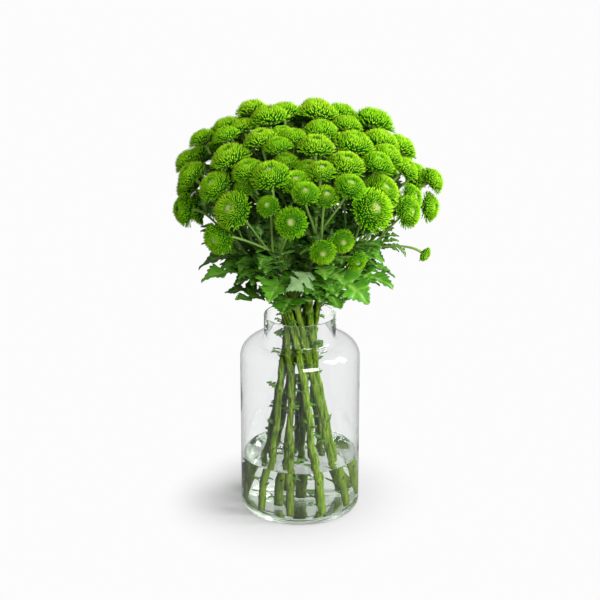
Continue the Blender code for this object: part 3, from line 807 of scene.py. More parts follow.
def solid_rings(name):
    """The points of a leaf's solid, and its rings of four from the base to the tip, as their numbers."""
    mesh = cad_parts[name].data
    keys, index, points = {}, [], []
    for vertex in mesh.vertices:
        key = tuple(round(c * 1e6) for c in vertex.co)
        if key not in keys:
            keys[key] = len(points)
            points.append(np.array(vertex.co))
        index.append(keys[key])
    links = [set() for _ in points]
    for edge in mesh.edges:
        a, b = (index[v] for v in edge.vertices)
        links[a].add(b)
        links[b].add(a)
    points = np.array(points)
    ends = [k for k in range(len(points)) if len(nearest(points, k)) == 4]
    base = min(ends, key=lambda k: np.linalg.norm(points[k, :2]))
    ring = set(nearest(points, base))
    seen, rings = set(ring), [sorted(ring)]
    while len(rings) < len(LEAF_STATIONS):
        ring = set().union(*(links[k] for k in rings[-1])) - seen
        seen |= ring
        rings.append(sorted(ring))
    if any(len(ring) != 4 for ring in rings):
        raise RuntimeError(f"{name} isn't made of rings of four points")
    return points, rings


def solid_leaf_frame(name):
    """The midrib, width directions and upper directions of a leaf's solid, from its base ring on."""
    points, rings = solid_rings(name)
    ribs, widths, uppers = [], [], []
    for ring in rings:
        corners = points[ring]
        spans = np.linalg.norm(corners[:, None] - corners[None], axis=2)
        a, b = np.unravel_index(int(spans.argmax()), spans.shape)
        core = [k for k in range(4) if k not in (a, b)]
        ribs.append(corners[core].mean(0))
        widths.append(unit(corners[b] - corners[a]))
        uppers.append(corners[[a, b]].mean(0) - corners[core].mean(0))
    for n in range(1, len(widths)):
        if np.dot(widths[n], widths[n - 1]) < 0:
            widths[n] = -widths[n]
    ribs, widths, uppers = np.array(ribs), np.array(widths), np.array(uppers)
    tangents = np.gradient(ribs, axis=0)
    normals = np.cross(widths, tangents)
    if (normals[2:-1] * uppers[2:-1]).sum() < 0:
        widths, normals = -widths, -normals
    return ribs, widths, normals / np.linalg.norm(normals, axis=1)[:, None]


def nearest(points, which):
    """The points that lie within a leaf tip's width of that one, itself included."""
    return [int(k) for k in np.flatnonzero(np.linalg.norm(points - points[which], axis=1) < TIP_REACH)]


def small_frame(base, heading, droop, length):
    """The frame of a leaf that sets out from base in that heading and bends down over its length."""
    shares = np.array(LEAF_STATIONS)
    across = np.cross(heading, (0, 0, 1))
    across = unit(across) if np.linalg.norm(across) > 1e-3 else np.array((1.0, 0, 0))
    above = np.cross(across, heading)
    turns = -droop * shares**1.5
    tangents = np.outer(np.cos(turns), heading) + np.outer(np.sin(turns), above)
    ribs = base + np.cumsum(np.diff(shares, prepend=0)[:, None] * length * tangents, axis=0)
    widths = np.repeat(across[None], len(shares), axis=0)
    return ribs, widths, np.cross(widths, tangents)


def leaf_grid(detail):
    """A blade's points in rows from side to side: along and across, as shares of the leaf's length."""
    edge = np.array(LEAF_EDGE)
    if detail["steps"]:
        edge = smooth_between(edge, np.linspace(0, len(edge) - 1, (len(edge) - 1) * detail["steps"] + 1))
    else:
        edge = edge[list(SMALL_EDGE)]
    edge_s, edge_w = edge[:, :1], np.maximum(edge[:, 1:], 0.003)
    middle_s = np.maximum.accumulate(np.clip(edge_s - VEIN_LEAN * edge_w, 0, 1))
    middle_s = 0.75 * middle_s + 0.25 * np.linspace(0, 1, len(edge))[:, None]
    out = np.linspace(0, 1, detail["columns"] + 1)
    out = np.concatenate((-out[:0:-1], out))[None]
    return middle_s * (1 - abs(out)) + edge_s * abs(out), edge_w * out


def leaf_relief(s, w, waves):
    """How much of each point is vein, and how far it lifts off the frame, as a share of the length."""
    away = abs(w)
    vein = np.exp(-((away / 0.012) ** 2))
    for start in SIDE_VEINS:
        off = (s - start - VEIN_LEAN * away) / math.hypot(1, VEIN_LEAN)
        vein = np.maximum(vein, 0.8 * np.exp(-((off / 0.010) ** 2)) * (away > 0.01))
    pucker = 0.010 * np.sin(34 * s + waves[0]) * np.sin(30 * away + waves[1])
    ruffle = 0.030 * away / 0.3 * np.sin(19 * s + waves[2] + np.sign(w))
    return vein, 0.20 * away + pucker + ruffle - 0.008 * vein


def blade_faces(rows, wide):
    """The quads and tile places of a closed blade: its upper skin, its lower skin and its edge."""
    grid = np.arange(rows * wide).reshape(rows, wide)
    faces, places = [], []
    for r in range(rows - 1):
        for q in range(wide - 1):
            corners = ((r, q), (r, q + 1), (r + 1, q + 1), (r + 1, q))
            for under, way in ((0, 1), (1, -1)):
                faces.append([grid[corner] + under * grid.size for corner in corners][::way])
                spots = [(0.52 * under + 0.48 * c / (wide - 1), a / (rows - 1)) for a, c in corners]
                places.append(spots[::way])
    border = [*grid[0], *grid[1:, -1], *grid[-1, -2::-1], *grid[-2:0:-1, 0]]
    for a, b in zip(border, border[1:] + border[:1]):
        faces.append((b, a, a + grid.size, b + grid.size))
        places.append([(0.49, 0.2), (0.50, 0.2), (0.50, 0.21), (0.49, 0.21)])
    return faces, places


def add_leaf(body, ribs, widths, uppers, length, detail, draw):
    """A lobed blade, closed all round, with a raised midrib below and veins pressed into its top."""
    low, high = detail["tones"]
    tone = low + (high - low) * draw.uniform() ** 2
    s, w = leaf_grid(detail)
    vein, lift = leaf_relief(s, w, draw.uniform(0, 2 * math.pi, 4))
    stations = np.interp(s.ravel(), LEAF_STATIONS, range(len(LEAF_STATIONS)))
    rib, width, upper = (smooth_between(v, stations) for v in (ribs, widths, uppers))
    surface = rib + width * (w * length).ravel()[:, None] + upper * (lift * length).ravel()[:, None]
    half = np.where(abs(w) < MIDRIB_HALF, 1.6, 1.0).ravel()[:, None] * LEAF_BLADE / 2
    points = np.vstack((surface + upper * half, surface - upper * half * 1.5))
    under = np.repeat((0, 1), s.size)
    paint = np.column_stack((np.tile(vein.ravel(), 2), under, np.full(len(points), tone)))
    body.add(points, *blade_faces(*s.shape), paint)


# ------------------------------------------------------------ the leaves between rim and flowers

LEAF_FLOOR = 272 * MM  # how low a leaf may hang over the jar's rim
FRONT_LIFT = 18 * MM  # how much higher that is at the front, where it is reached FRONT_REACH out
FRONT_REACH = 55 * MM
OUTER_LEAF_HEIGHTS = (284, 292, 300, 308, 316, 324)  # on the outer canes, in millimetres
INNER_LEAF_HEIGHTS = (292, 312, 332, 350)  # on the inner canes
INWARD_LEAF_HEIGHTS = (298, 312, 326, 338)
FILLING_LEAF_HEIGHTS = (336, 344, 352, 359)
# The lengths of these three kinds of leaf, in millimetres.
OUTWARD_SIZES, INWARD_SIZES, FILLING_SIZES = (44, 66), (34, 52), (38, 54)
OUTWARD_TRIES, FILLING_TRIES = 12, 16
ENOUGH_ROOM, FILLING_ROOM = 4 * MM, 5 * MM  # room past this makes a try at a leaf no better
CROWDED_ROOM = -6 * MM  # the least room for an outward leaf
LEAST_ROOM = 1 * MM  # and for an inward or filling one
FRONT_LIMIT = -30 * MM  # an inward leaf's tip stays behind this
FILLING_LIMIT = -20 * MM  # and a filling leaf's behind this
TURNED_CANE = 1  # the cane with the leaf that has turned its underside outward
TURNED_START, TURNED_LENGTH = 328 * MM, 50 * MM  # how high it leaves the cane, and its length


def lowest(points):
    """How low a leaf may hang there: over the jar's rim all round, and higher in front of it."""
    return LEAF_FLOOR + FRONT_LIFT * np.clip(-points[:, 1] / FRONT_REACH, 0, 1)


def lifted(ribs):
    """A midrib that bends up again where it would hang too low."""
    ribs = ribs.copy()
    room = lowest(ribs)
    low = ribs[:, 2] < room
    ribs[low, 2] = (room - 0.15 * (room - ribs[:, 2]))[low]
    return ribs


def turned_frame(cane):
    """The frame of the leaf that has turned its pale underside outward, low at the front."""
    point = on_path(cane, TURNED_START)[0]
    start = point + unit(np.array((0.3, -1, 0.2))) * 0.9 * cane_radius(point[2])
    tip = np.array((-16, -104, 317)) * MM
    leaving, arriving = np.array((10, -90, 30)) * MM, np.array((-80, 6, -58)) * MM
    curve = hermite(start, tip, leaving, arriving, 101)
    shares = np.interp(LEAF_STATIONS, (0, 0.2, 1), (0, 0.45, 1))  # its stalk is long
    ribs = np.array([curve[round(100 * share)] for share in shares])
    tangents = np.array([unit(t) for t in np.gradient(ribs, axis=0)])
    inward = np.array((0, 0.75, -0.65))
    uppers = np.array([unit(inward - t * np.dot(inward, t)) for t in tangents])
    return ribs, np.cross(tangents, uppers), uppers


def roomiest(tries, trial):
    """The best of that many tries at a leaf, each as its room and its frame."""
    return max((trial() for _ in range(tries)), key=lambda made: made[0])


def add_outward_leaf(body, path, height, draw):
    """A middling leaf that leaves its cane outward, where the flowers and the rim leave it most room."""
    point = on_path(path, (height + draw.uniform(-4, 4)) * MM)[0]
    home = math.degrees(math.atan2(point[0], -point[1]))
    size = draw.uniform(*OUTWARD_SIZES) * MM

    def trial():
        bearing = home + draw.uniform(-75, 75)
        slope = math.radians(draw.uniform(-12, 42))
        heading = unit(spot(bearing, math.cos(slope), math.sin(slope)) + 0.25 * draw.normal(size=3))
        start = point + heading * 0.9 * cane_radius(point[2])
        leaf = small_frame(start, heading, draw.uniform(0.7, 1.5), size)
        blade = leaf[0][TIPWARD]
        room = min(clear_of_flowers(blade), ENOUGH_ROOM)
        return room + 3 * min(float((blade[:, 2] - lowest(blade)).min()), 0), leaf

    room, (ribs, widths, uppers) = roomiest(OUTWARD_TRIES, trial)
    if room > CROWDED_ROOM:
        add_leaf(body, lifted(ribs), widths, uppers, size, MIDDLE_DETAIL, draw)


def add_inward_leaf(body, path, height, draw):
    """A smaller leaf in the shade, from its cane in and up between the other canes."""
    point = on_path(path, height * MM)[0]
    home = math.degrees(math.atan2(point[0], -point[1]))
    slope = math.radians(draw.uniform(30, 75))
    heading = spot(home + 180 + draw.uniform(-70, 70), math.cos(slope), math.sin(slope))
    size = draw.uniform(*INWARD_SIZES) * MM
    ribs, widths, uppers = small_frame(point + heading * 2 * MM, heading, draw.uniform(0.2, 0.8), size)
    if clear_of_flowers(ribs) > LEAST_ROOM and ribs[-1][1] > FRONT_LIMIT:
        add_leaf(body, lifted(ribs), widths, uppers, size, SMALL_DETAIL, draw)


def add_filling_leaf(body, path, height, draw):
    """A leaf high up among the side shoots, behind the front flowers, that closes a gap between them."""
    point = on_path(path, height * MM)[0]
    size = draw.uniform(*FILLING_SIZES) * MM

    def trial():
        slope = math.radians(draw.uniform(20, 65))
        heading = spot(draw.uniform(0, 360), math.cos(slope), math.sin(slope))
        leaf = small_frame(point + heading * 2 * MM, heading, draw.uniform(0.1, 0.5), size)
        # The further back its tip is, the better, up to a point.
        back = min(leaf[0][-1][1], 40 * MM)
        return min(clear_of_flowers(leaf[0]), FILLING_ROOM) + 0.2 * back, leaf

    leaf = roomiest(FILLING_TRIES, trial)[1]
    if clear_of_flowers(leaf[0]) > LEAST_ROOM and leaf[0][-1][1] > FILLING_LIMIT:
        add_leaf(body, *leaf, size, SMALL_DETAIL, draw)


def make_ruff(leaf_skin):
    """The middling leaves that crowd the canes between the jar's rim and the flowers."""
    for n, spray in enumerate(SPRAYS, 1):
        path, body = spray["cane"], Body()
        draw, filler = np.random.default_rng(300 + n), np.random.default_rng(700 + n)
        for height in OUTER_LEAF_HEIGHTS if n <= OUTER_SPRAYS else INNER_LEAF_HEIGHTS:
            add_outward_leaf(body, path, height, draw)
        for height in INWARD_LEAF_HEIGHTS:
            add_inward_leaf(body, path, height, draw)
        for height in FILLING_LEAF_HEIGHTS:
            add_filling_leaf(body, path, height, filler)
        if n == TURNED_CANE:
            add_leaf(body, *turned_frame(path), TURNED_LENGTH, TURNED_DETAIL, filler)
        place_body(f"ruff_leaves_{n:02d}", body, leaf_skin, "leaf_green", f"stem_{n:02d}")


def make_leaves(leaf_skin):
    """The large leaves, each along its solid's midrib."""
    for n in range(1, LEAF_COUNT + 1):
        ribs, widths, uppers = solid_leaf_frame(f"leaf_{n:02d}")
        length = float(np.linalg.norm(np.diff(ribs, axis=0), axis=1).sum())
        body = Body()
        add_leaf(body, lifted(ribs), widths, uppers, length, LARGE_DETAIL, np.random.default_rng(200 + n))
        place_body(f"lobed_leaf_{n:02d}", body, leaf_skin, "leaf_green", f"leaf_{n:02d}")


# ------------------------------------------------------------ side shoots and their small leaves

FLOWER_GUARD = 0.85  # a leaf's room is measured from this share of each flower's radius
SHOOT_LEAF_ROOM = -1 * MM  # the least room for a leaf
SHOOT_LEAF_TRIES = 10
STEM_LEAF_STEPS = (2, 5, 8, 11, 14)  # the points of a shoot's stem that leaves grow from
STALK_LEAF_STEPS = (2, 4, 6, 8)  # and the points of each stalk
# Under SKIRT_HEIGHT and further out than SKIRT_START the leaves are longer, and hang out as far as
# SKIRT_REACH from the jar's axis.
SKIRT_HEIGHT, SKIRT_START, SKIRT_REACH = 352 * MM, 52 * MM, 120 * MM
SKIRT_GROWTH, SKIRT_LEAST = 1.55, 18 * MM
DEPTH_IN_DOME = 0.12  # how deep inside the dome of flowers a small leaf's tip stays


def stalk_material(settings):
    """Young side shoot: smooth soft green skin with fine down, paler than the cane."""
    made, tree = new_material("young_green_stalk")
    up = painted(tree)[0]
    patches = ((0.3, settings.stalk_dark), (0.7, settings.stalk))
    colour = node(tree, "ShaderNodeValToRGB", links={"Fac": mottle(tree, 5, 3)}, stops=patches).outputs[0]
    colour = node(tree, "ShaderNodeMix", MIX_COLOURS, {0: up, 6: colour, 7: settings.stalk_tip}).outputs[2]
    solid_surface(tree, colour, 0.5, 0.2, mottle(tree, 1.0, 3), 0.12)
    return made


def clear_of_flowers(points):
    """The room between these points and the nearest flower's guard, less than 0 inside it."""
    middles = np.array([f["place"] for f in FLOWERS])
    radii = np.array([f["radius"] for f in FLOWERS])
    gaps = np.linalg.norm(points[:, None] - middles[None], axis=2) - FLOWER_GUARD * radii[None]
    return float(gaps.min())


def sunk(point):
    """How deep this point is inside the dome of flowers, as a share of the dome."""
    rise = max(point[2] - DOME_HEIGHT, 0) / DOME_RISE
    return 1 - math.hypot(math.hypot(point[0], point[1]) / DOME_RADIUS, rise)


def add_shoot_leaf(body, start, along, sizes, draw):
    """A leaf of a side shoot, where the flowers leave it most room, if they leave it any."""
    size = draw.uniform(*sizes) * MM
    reach = math.hypot(start[0], start[1])
    skirt = start[2] < SKIRT_HEIGHT and reach > SKIRT_START
    if skirt:
        size = min(SKIRT_GROWTH * size, max(SKIRT_REACH - reach, SKIRT_LEAST))
    outward = unit(start * (1, 1, 0))

    def trial():
        turn = draw.normal(size=3)
        out = unit(turn - np.dot(turn, along) * along)
        heading = unit(out + 0.55 * along + 0.35 * outward)
        if skirt:
            heading = unit(0.6 * out + along + outward - (0, 0, 0.3))
        leaf = small_frame(start, heading, draw.uniform(0.3, 1.1), size)
        room = min(clear_of_flowers(leaf[0][TIPWARD]), ENOUGH_ROOM) + 2 * MM * heading[2]
        return room + 200 * MM * min(sunk(leaf[0][-1]) - DEPTH_IN_DOME, 0), leaf

    room, leaf = roomiest(SHOOT_LEAF_TRIES, trial)
    if room > SHOOT_LEAF_ROOM:
        add_leaf(body, *leaf, size, SKIRT_DETAIL if skirt else SMALL_DETAIL, draw)


def starts_on(path, steps):
    """Those points of a path, each with the way that the path goes there."""
    return [(path[k], unit(path[k + 1] - path[k - 1])) for k in steps]


def make_shoots(settings, leaf_skin):
    """The side shoots: their stems and stalks as one piece each, and their small leaves as another."""
    skin = stalk_material(settings)
    for n, spray in enumerate(SPRAYS, 1):
        for level in LEVELS:
            draw = np.random.default_rng(400 + 2 * n + (level == "upper"))
            body, leaves = Body(), Body()
            stem = spray[level]["stem"]
            radii = np.linspace(SHOOT_RADIUS, STALK_RADIUS * 1.15, len(stem))
            add_tube(body, stem, radii, 9, np.outer(np.linspace(0, 0.4, len(stem)), (1, 0, 0)))
            starts = starts_on(stem, STEM_LEAF_STEPS)
            for stalk in spray[level]["stalks"]:
                path = stalk["path"]
                swell = STALK_RADIUS * (1 + 0.25 * np.linspace(-1, 1, len(path)) ** 2)
                add_tube(body, path, swell, 8, np.outer(np.linspace(0.3, 1, len(path)), (1, 0, 0)))
                starts += starts_on(path, STALK_LEAF_STEPS)
            for start, along in starts:
                add_shoot_leaf(leaves, start, along, settings.small_leaf, draw)
            solid = f"{level}_shoot_{n:02d}"
            place_body(f"{level}_stalks_{n:02d}", body, skin, "button_green", solid)
            place_body(f"{level}_small_leaves_{n:02d}", leaves, leaf_skin, "leaf_green", solid)


# ------------------------------------------------------------ flower heads

FLORET_RINGS = ((0.0, 0.45), (0.80, 1.0))
# A floret's section, a shallow trough: across and up, as shares of its half width.
FLORET_SECTION = ((-1.0, 0.32), (0.0, -0.60), (1.0, 0.32))
FLORET_PART, EYE_PART, CALYX_PART = 0.0, 0.5, 1.0
# The head's green core and the cup under it, turned, in radii: distance from the axis and height.
CORE_PROFILE = (
    (0, -0.36), (0.34, -0.34), (0.66, -0.24), (0.78, -0.14),
    (0.68, 0.04), (0.40, 0.15), (0.11, 0.16), (0, 0.15),
)
CUP_PROFILE = ((0, -0.64), (0.09, -0.62), (0.16, -0.54), (0.38, -0.42), (0.42, -0.34), (0, -0.30))
CORE_STEPS, CUP_STEPS = 14, 12
# The green scales round the cup: how many, the three points of their curve, and their width.
SCALES, SCALE_CURVE, SCALE_WIDTH = 16, ((0.12, -0.56), (0.44, -0.56), (0.62, -0.26)), 0.26
# The eye, the dot in its middle and the core's share of the eye, as shares of the head's radius.
EYE_ACROSS, DOT_ACROSS, CORE_EYE = 0.18, 0.11, 0.12
EYE_WIDTH = 0.75  # of the eye's florets, as a share of the others'
FULL_HEAD = 430  # florets. A head with fewer has wider ones.
CREAM_TONE = 0.22
# The kinds of head: florets, how far open from 0 to 1, depth of the dimple, extra width of the eye, tone.
# A head whose tone is over CREAM_TONE has a cream dot in its green eye.
HEAD_KINDS = (
    (430, 1.00, 0.15, -0.02, 0.40), (410, 0.97, 0.17, 0.02, 0.75), (440, 1.00, 0.12, -0.04, 0.25),
    (420, 0.98, 0.16, 0.00, 0.50), (430, 1.00, 0.13, -0.04, 0.55), (415, 0.97, 0.18, 0.00, 0.30),
    (320, 0.94, 0.16, 0.02, 0.35), (310, 0.90, 0.18, 0.05, 0.70), (330, 0.95, 0.15, 0.00, 0.45),
    (190, 0.78, 0.18, 0.10, 0.35), (180, 0.72, 0.16, 0.08, 0.55),
)
# Which of them a head may be, by its least radius.
KINDS_BY_RADIUS = ((16 * MM, (0, 1, 2, 3, 4, 5)), (11.5 * MM, (6, 7, 8)), (0, (9, 10)))
# Heads within PRESSED_WITHIN of the jar's axis, both sideways and to the front or back, press their
# outer florets into their neighbours', most of all to the right of RIGHT_START.
PRESSED_WITHIN, RIGHT_START = 118 * MM, 35 * MM
OUTER_PRESS, INNER_PRESS, RIGHT_PRESS = 1.04, 1.17, 1.20  # a head's radius, as a share of its solid's
HEAD_TURN = 137.5  # degrees that each head is turned from the last, so that no two look alike


def floret_material(settings):
    """Chrysanthemum florets: thin matt tongues, yellow-green at the tip and deep green at the root, partly
    their own green and partly painted shade where they crowd each other.
    """
    made, tree = new_material("green_florets")
    along, tone, part = painted(tree)[:3]
    root, tip, middle = settings.root, settings.tip, settings.middle
    # The root stop is partly the florets' own deep green and partly painted shade, deep between them.
    cool = ((0.36, root), (0.78, middle), (0.93, settings.bright), (1.0, tip))
    cool = node(tree, "ShaderNodeValToRGB", links={"Fac": along}, stops=cool).outputs[0]
    warm = ((0.36, root), (0.75, middle), (0.91, tip), (1.0, settings.tip_warm))
    warm = node(tree, "ShaderNodeValToRGB", links={"Fac": along}, stops=warm).outputs[0]
    colour = node(tree, "ShaderNodeMix", MIX_COLOURS, {0: tone, 6: cool, 7: warm}).outputs[2]
    pale = ((0.58, settings.eye_green), (0.62, settings.eye))
    pale = node(tree, "ShaderNodeValToRGB", links={"Fac": tone}, stops=pale).outputs[0]
    end = ((0.4, BLACK), (0.95, WHITE))
    end = node(tree, "ShaderNodeValToRGB", links={"Fac": along}, stops=end).outputs[0]
    eye = node(tree, "ShaderNodeMix", MIX_COLOURS, {0: end, 6: settings.eye_green, 7: pale}).outputs[2]
    # Each kind of part is told from the others by its painted value, half way between theirs.
    is_eye = ((0.24, BLACK), (0.26, WHITE), (0.74, WHITE), (0.76, BLACK))
    is_eye = node(tree, "ShaderNodeValToRGB", links={"Fac": part}, stops=is_eye).outputs[0]
    is_calyx = ((0.74, BLACK), (0.76, WHITE))
    is_calyx = node(tree, "ShaderNodeValToRGB", links={"Fac": part}, stops=is_calyx).outputs[0]
    colour = node(tree, "ShaderNodeMix", MIX_COLOURS, {0: is_eye, 6: colour, 7: eye}).outputs[2]
    colour = node(tree, "ShaderNodeMix", MIX_COLOURS, {0: is_calyx, 6: colour, 7: settings.calyx}).outputs[2]
    solid_surface(tree, colour, 0.6, 0.06)
    return made


def add_florets(body, curves, turns, widths, tones, part):
    """Trough-shaped tongues, each closed. The curves' three points are (across, up) from the axis."""
    rings, section = np.array(FLORET_RINGS), np.array(FLORET_SECTION)
    levels, sides = len(rings), len(section)
    t = rings[:, 0][None, :, None]
    starts, bends, tips = (curve[:, None, :] for curve in curves)
    centre = (1 - t) ** 2 * starts + 2 * t * (1 - t) * bends + t**2 * tips
    heading = 2 * (1 - t) * (bends - starts) + 2 * t * (tips - bends)
    heading /= np.linalg.norm(heading, axis=2)[..., None]
    normal = np.stack((-heading[..., 1], heading[..., 0]), axis=2)
    half = 0.5 * widths[:, None] * rings[:, 1][None]
    flat = centre[:, :, None] + normal[:, :, None] * (half[..., None] * section[:, 1])[..., None]
    sideways = half[..., None] * section[:, 0]
    radial = np.stack((np.cos(turns), np.sin(turns)), axis=1)
    tangent = np.stack((-np.sin(turns), np.cos(turns)), axis=1)
    ground = flat[..., 0, None] * radial[:, None, None] + sideways[..., None] * tangent[:, None, None]
    skin = np.concatenate((ground, flat[..., 1, None]), axis=3).reshape(-1, levels * sides, 3)
    end = tips[:, 0]
    end = np.concatenate((end[:, :1] * radial, end[:, 1:]), axis=1)
    faces, places = grid_faces(levels, sides)
    last = (levels - 1) * sides
    for k in range(sides):
        d = (k + 1) % sides
        faces.append((last + k, last + d, levels * sides))
        places.append([(k / sides, 0.68), (d / sides if d else 1.0, 0.68), ((k + 0.5) / sides, 1.0)])
    face, corner = cap(list(range(sides - 1, -1, -1)), 0.02)
    faces.append(face)
    places.append(corner)
    along = np.append(np.repeat(rings[:, 0], sides), 1.0)
    for ring, tip, tone in zip(skin, end, tones):
        paint = np.column_stack((along, np.full(len(along), tone), np.full(len(along), part)))
        body.add(np.vstack((ring, tip)), faces, places, paint)


def floret_curves(florets, openness, dimple, draw):
    """A head's florets: how far round and across each one's tip is, and the three points of its curve."""
    order = (np.arange(florets) + 0.5) / florets
    turns = GOLDEN * np.arange(florets) + draw.normal(0, 0.03, florets)
    across = 0.09 + 0.95 * order**0.58 + draw.normal(0, 0.018, florets)
    across *= 0.80 + 0.20 * openness
    # Every third of the outer florets stands out past its neighbours, which makes the rim ragged.
    across += 0.05 * (order > 0.7) * (np.arange(florets) % 3 == 0)
    rise = -0.17 + 0.62 * (1 - across**2.4) - dimple * np.exp(-((across / 0.20) ** 2))
    rise += draw.normal(0, 0.026, florets) + 0.16 * (1 - openness) * across
    tips = np.column_stack((across, rise))
    starts = np.column_stack((0.08 + 0.22 * across, -0.34 + 0.10 * (1 - across)))
    bends = (across * 0.86 + 0.10 * (1 - across), 0.35 * starts[:, 1] + 0.65 * rise - 0.13)
    return turns, across, (starts, np.column_stack(bends), tips)


def head_mesh(number, kind, material):
    """A flower head of radius 1, with its axis along +Z."""
    florets, openness, dimple, eye, tone = kind
    draw = np.random.default_rng(700 + number)
    turns, across, curves = floret_curves(florets, openness, dimple, draw)
    widths = (0.056 + 0.014 * across) * (FULL_HEAD / florets) ** 0.5 * draw.uniform(0.88, 1.12, florets)
    tones = np.clip(tone + draw.normal(0, 0.20, florets) + 0.25 * (across - 0.5), 0, 1)
    inner = across < EYE_ACROSS + eye
    dot = float(tone > CREAM_TONE)
    tones[inner] = np.where(across[inner] < DOT_ACROSS, dot, 0.0)
    body = Body()
    for which, share, part in ((inner, EYE_WIDTH, EYE_PART), (~inner, 1, FLORET_PART)):
        picked = [curve[which] for curve in curves]
        add_florets(body, picked, turns[which], widths[which] * share, tones[which], part)
    points, faces, places = turned(CORE_PROFILE, CORE_STEPS)
    middle = np.linalg.norm(points[:, :2], axis=1)[:, None] < CORE_EYE
    # Outside the eye the core takes the florets' root colour, which is partly painted shade under them.
    body.add(points, faces, places, np.where(middle, (0.75, dot, EYE_PART), (0.3, tone, FLORET_PART)))
    ring = np.arange(SCALES)
    scales = [np.tile(point, (SCALES, 1)) for point in SCALE_CURVE]
    scales[1] += 0.04 * (ring % 2)[:, None]  # every other one bulges
    widths, tones = np.full(SCALES, SCALE_WIDTH), np.full(SCALES, 0.5)
    add_florets(body, scales, 2 * math.pi * ring / SCALES, widths, tones, CALYX_PART)
    body.add_turned(CUP_PROFILE, CUP_STEPS, (0, 0, CALYX_PART))
    return body.mesh(f"button_head_{number:02d}", material)


def make_flowers(settings):
    """A flower head on every stalk. Heads of one kind share one mesh."""
    material = floret_material(settings)
    meshes = [head_mesh(n, kind, material) for n, kind in enumerate(HEAD_KINDS)]
    flowers = [
        (f"{level}_shoot_{n:02d}", stalk["flower"])
        for n, spray in enumerate(SPRAYS, 1)
        for level in LEVELS
        for stalk in spray[level]["stalks"]
    ]
    for number, (shoot, flower) in enumerate(flowers, 1):
        place, axis, radius = flower["place"], flower["axis"], flower["radius"]
        kinds = next(kinds for least, kinds in KINDS_BY_RADIUS if radius > least)
        mesh = meshes[kinds[number % len(kinds)]]
        made = place_piece(f"flower_{number:02d}", mesh, "button_green", shoot)
        pressed = max(abs(place[0]), abs(place[1])) < PRESSED_WITHIN
        press = OUTER_PRESS if not pressed else RIGHT_PRESS if place[0] > RIGHT_START else INNER_PRESS
        side = unit(np.cross(axis, spot(HEAD_TURN * number, 1, 0.2)))
        turn = np.eye(4)
        turn[:3, :3] = np.column_stack((side, np.cross(axis, side), axis)) * radius * press
        turn[:3, 3] = place
        made.matrix_world = Matrix(turn.tolist())


# ------------------------------------------------------------ the stage

CAMERA_AWAY = 2.30
CAMERA_CLIMB = 20.3  # in degrees
CAMERA_AIM = 267.5 * MM  # how high over the floor the lens points
CAMERA_LENS = 115.0  # in millimetres, as is the frame's width
CAMERA_FRAME = 36.0
FLOOR_HALF = 6.0
LAMP_AIM = (0, 0, 250 * MM)
# Name, bearing, climb in degrees, how far away, width and height in metres, the setting that holds its
# power and its share of that.
SOFTBOXES = (
    ("key_softbox_near", 80, 42, 1.9, 0.42, 0.95, "key_power", 0.5),
    ("key_softbox_far", 98, 27, 1.9, 0.42, 0.95, "key_power", 0.5),
    ("front_softbox", 22, 25, 2.4, 1.2, 0.8, "front_power", 1),
    ("top_softbox", 10, 78, 1.7, 0.8, 0.8, "top_power", 1),
)
FLOOR_GIVES = 0.40  # how much light the far floor gives, where white is 1
VEIL = 0.6  # how much of the white studio the glass mirrors, for the dark room behind the camera
GLOW_THROUGH_GLASS = 0.6  # how much of the floor's own glow shows through the jar


def seen_straight(tree):
    """1 where the lens sees this, straight or through clear glass, and 0 for the light that it gives."""
    rays = node(tree, "ShaderNodeLightPath").outputs
    either = {0: rays["Is Camera Ray"], 1: rays["Is Transmission Ray"]}
    seen = node(tree, "ShaderNodeMath", {"operation": "MAXIMUM"}, either).outputs[0]
    unscattered = {0: rays["Diffuse Depth"], 1: 0.5}
    unscattered = node(tree, "ShaderNodeMath", {"operation": "LESS_THAN"}, unscattered).outputs[0]
    return node(tree, "ShaderNodeMath", {"operation": "MULTIPLY"}, {0: seen, 1: unscattered}).outputs[0]


def one_mirroring(tree):
    """1 where this is seen by way of exactly one reflection, such as the veil that lies over clear glass."""
    depth = node(tree, "ShaderNodeLightPath").outputs["Glossy Depth"]
    return node(tree, "ShaderNodeMath", {"operation": "COMPARE"}, {0: depth, 1: 1.0, 2: 0.5}).outputs[0]


def shown_strength(tree, given):
    """How bright the stage is: white where it is seen, dimmer in one reflection, and as given for light."""
    strength = node(tree, "ShaderNodeMapRange", links={0: seen_straight(tree), 3: given, 4: 1.0}).outputs[0]
    veil = node(tree, "ShaderNodeMapRange", links={0: one_mirroring(tree), 3: 1.0, 4: VEIL}).outputs[0]
    return node(tree, "ShaderNodeMath", {"operation": "MULTIPLY"}, {0: strength, 1: veil}).outputs[0]


def floor_material(settings):
    """White paper sweep: matt, so that it takes a soft shadow, and lost in the backdrop further out."""
    made, tree = new_material("white_sweep_paper")
    values = {"Base Color": settings.paper, "Roughness": 0.9, "Specular IOR Level": 0.1}
    paper = node(tree, "ShaderNodeBsdfPrincipled", links=values).outputs[0]
    place = node(tree, "ShaderNodeNewGeometry").outputs["Position"]
    away = node(tree, "ShaderNodeVectorMath", {"operation": "LENGTH"}, {0: place}).outputs["Value"]
    smooth = {"interpolation_type": "SMOOTHSTEP"}
    fade = {0: away, 1: settings.fade_start, 2: settings.fade_end}
    share = node(tree, "ShaderNodeMapRange", smooth, fade).outputs[0]
    through = {0: node(tree, "ShaderNodeLightPath").outputs["Is Transmission Ray"], 1: GLOW_THROUGH_GLASS}
    through = node(tree, "ShaderNodeMath", {"operation": "MULTIPLY"}, through).outputs[0]
    for ray in (through, one_mirroring(tree)):
        share = node(tree, "ShaderNodeMath", {"operation": "MAXIMUM"}, {0: share, 1: ray}).outputs[0]
    light = {"Color": settings.backdrop, "Strength": shown_strength(tree, FLOOR_GIVES)}
    glow = node(tree, "ShaderNodeEmission", links=light).outputs[0]
    both = node(tree, "ShaderNodeMixShader", links={0: share, 1: paper, 2: glow})
    node(tree, "ShaderNodeOutputMaterial", links={"Surface": both.outputs[0]})
    return made


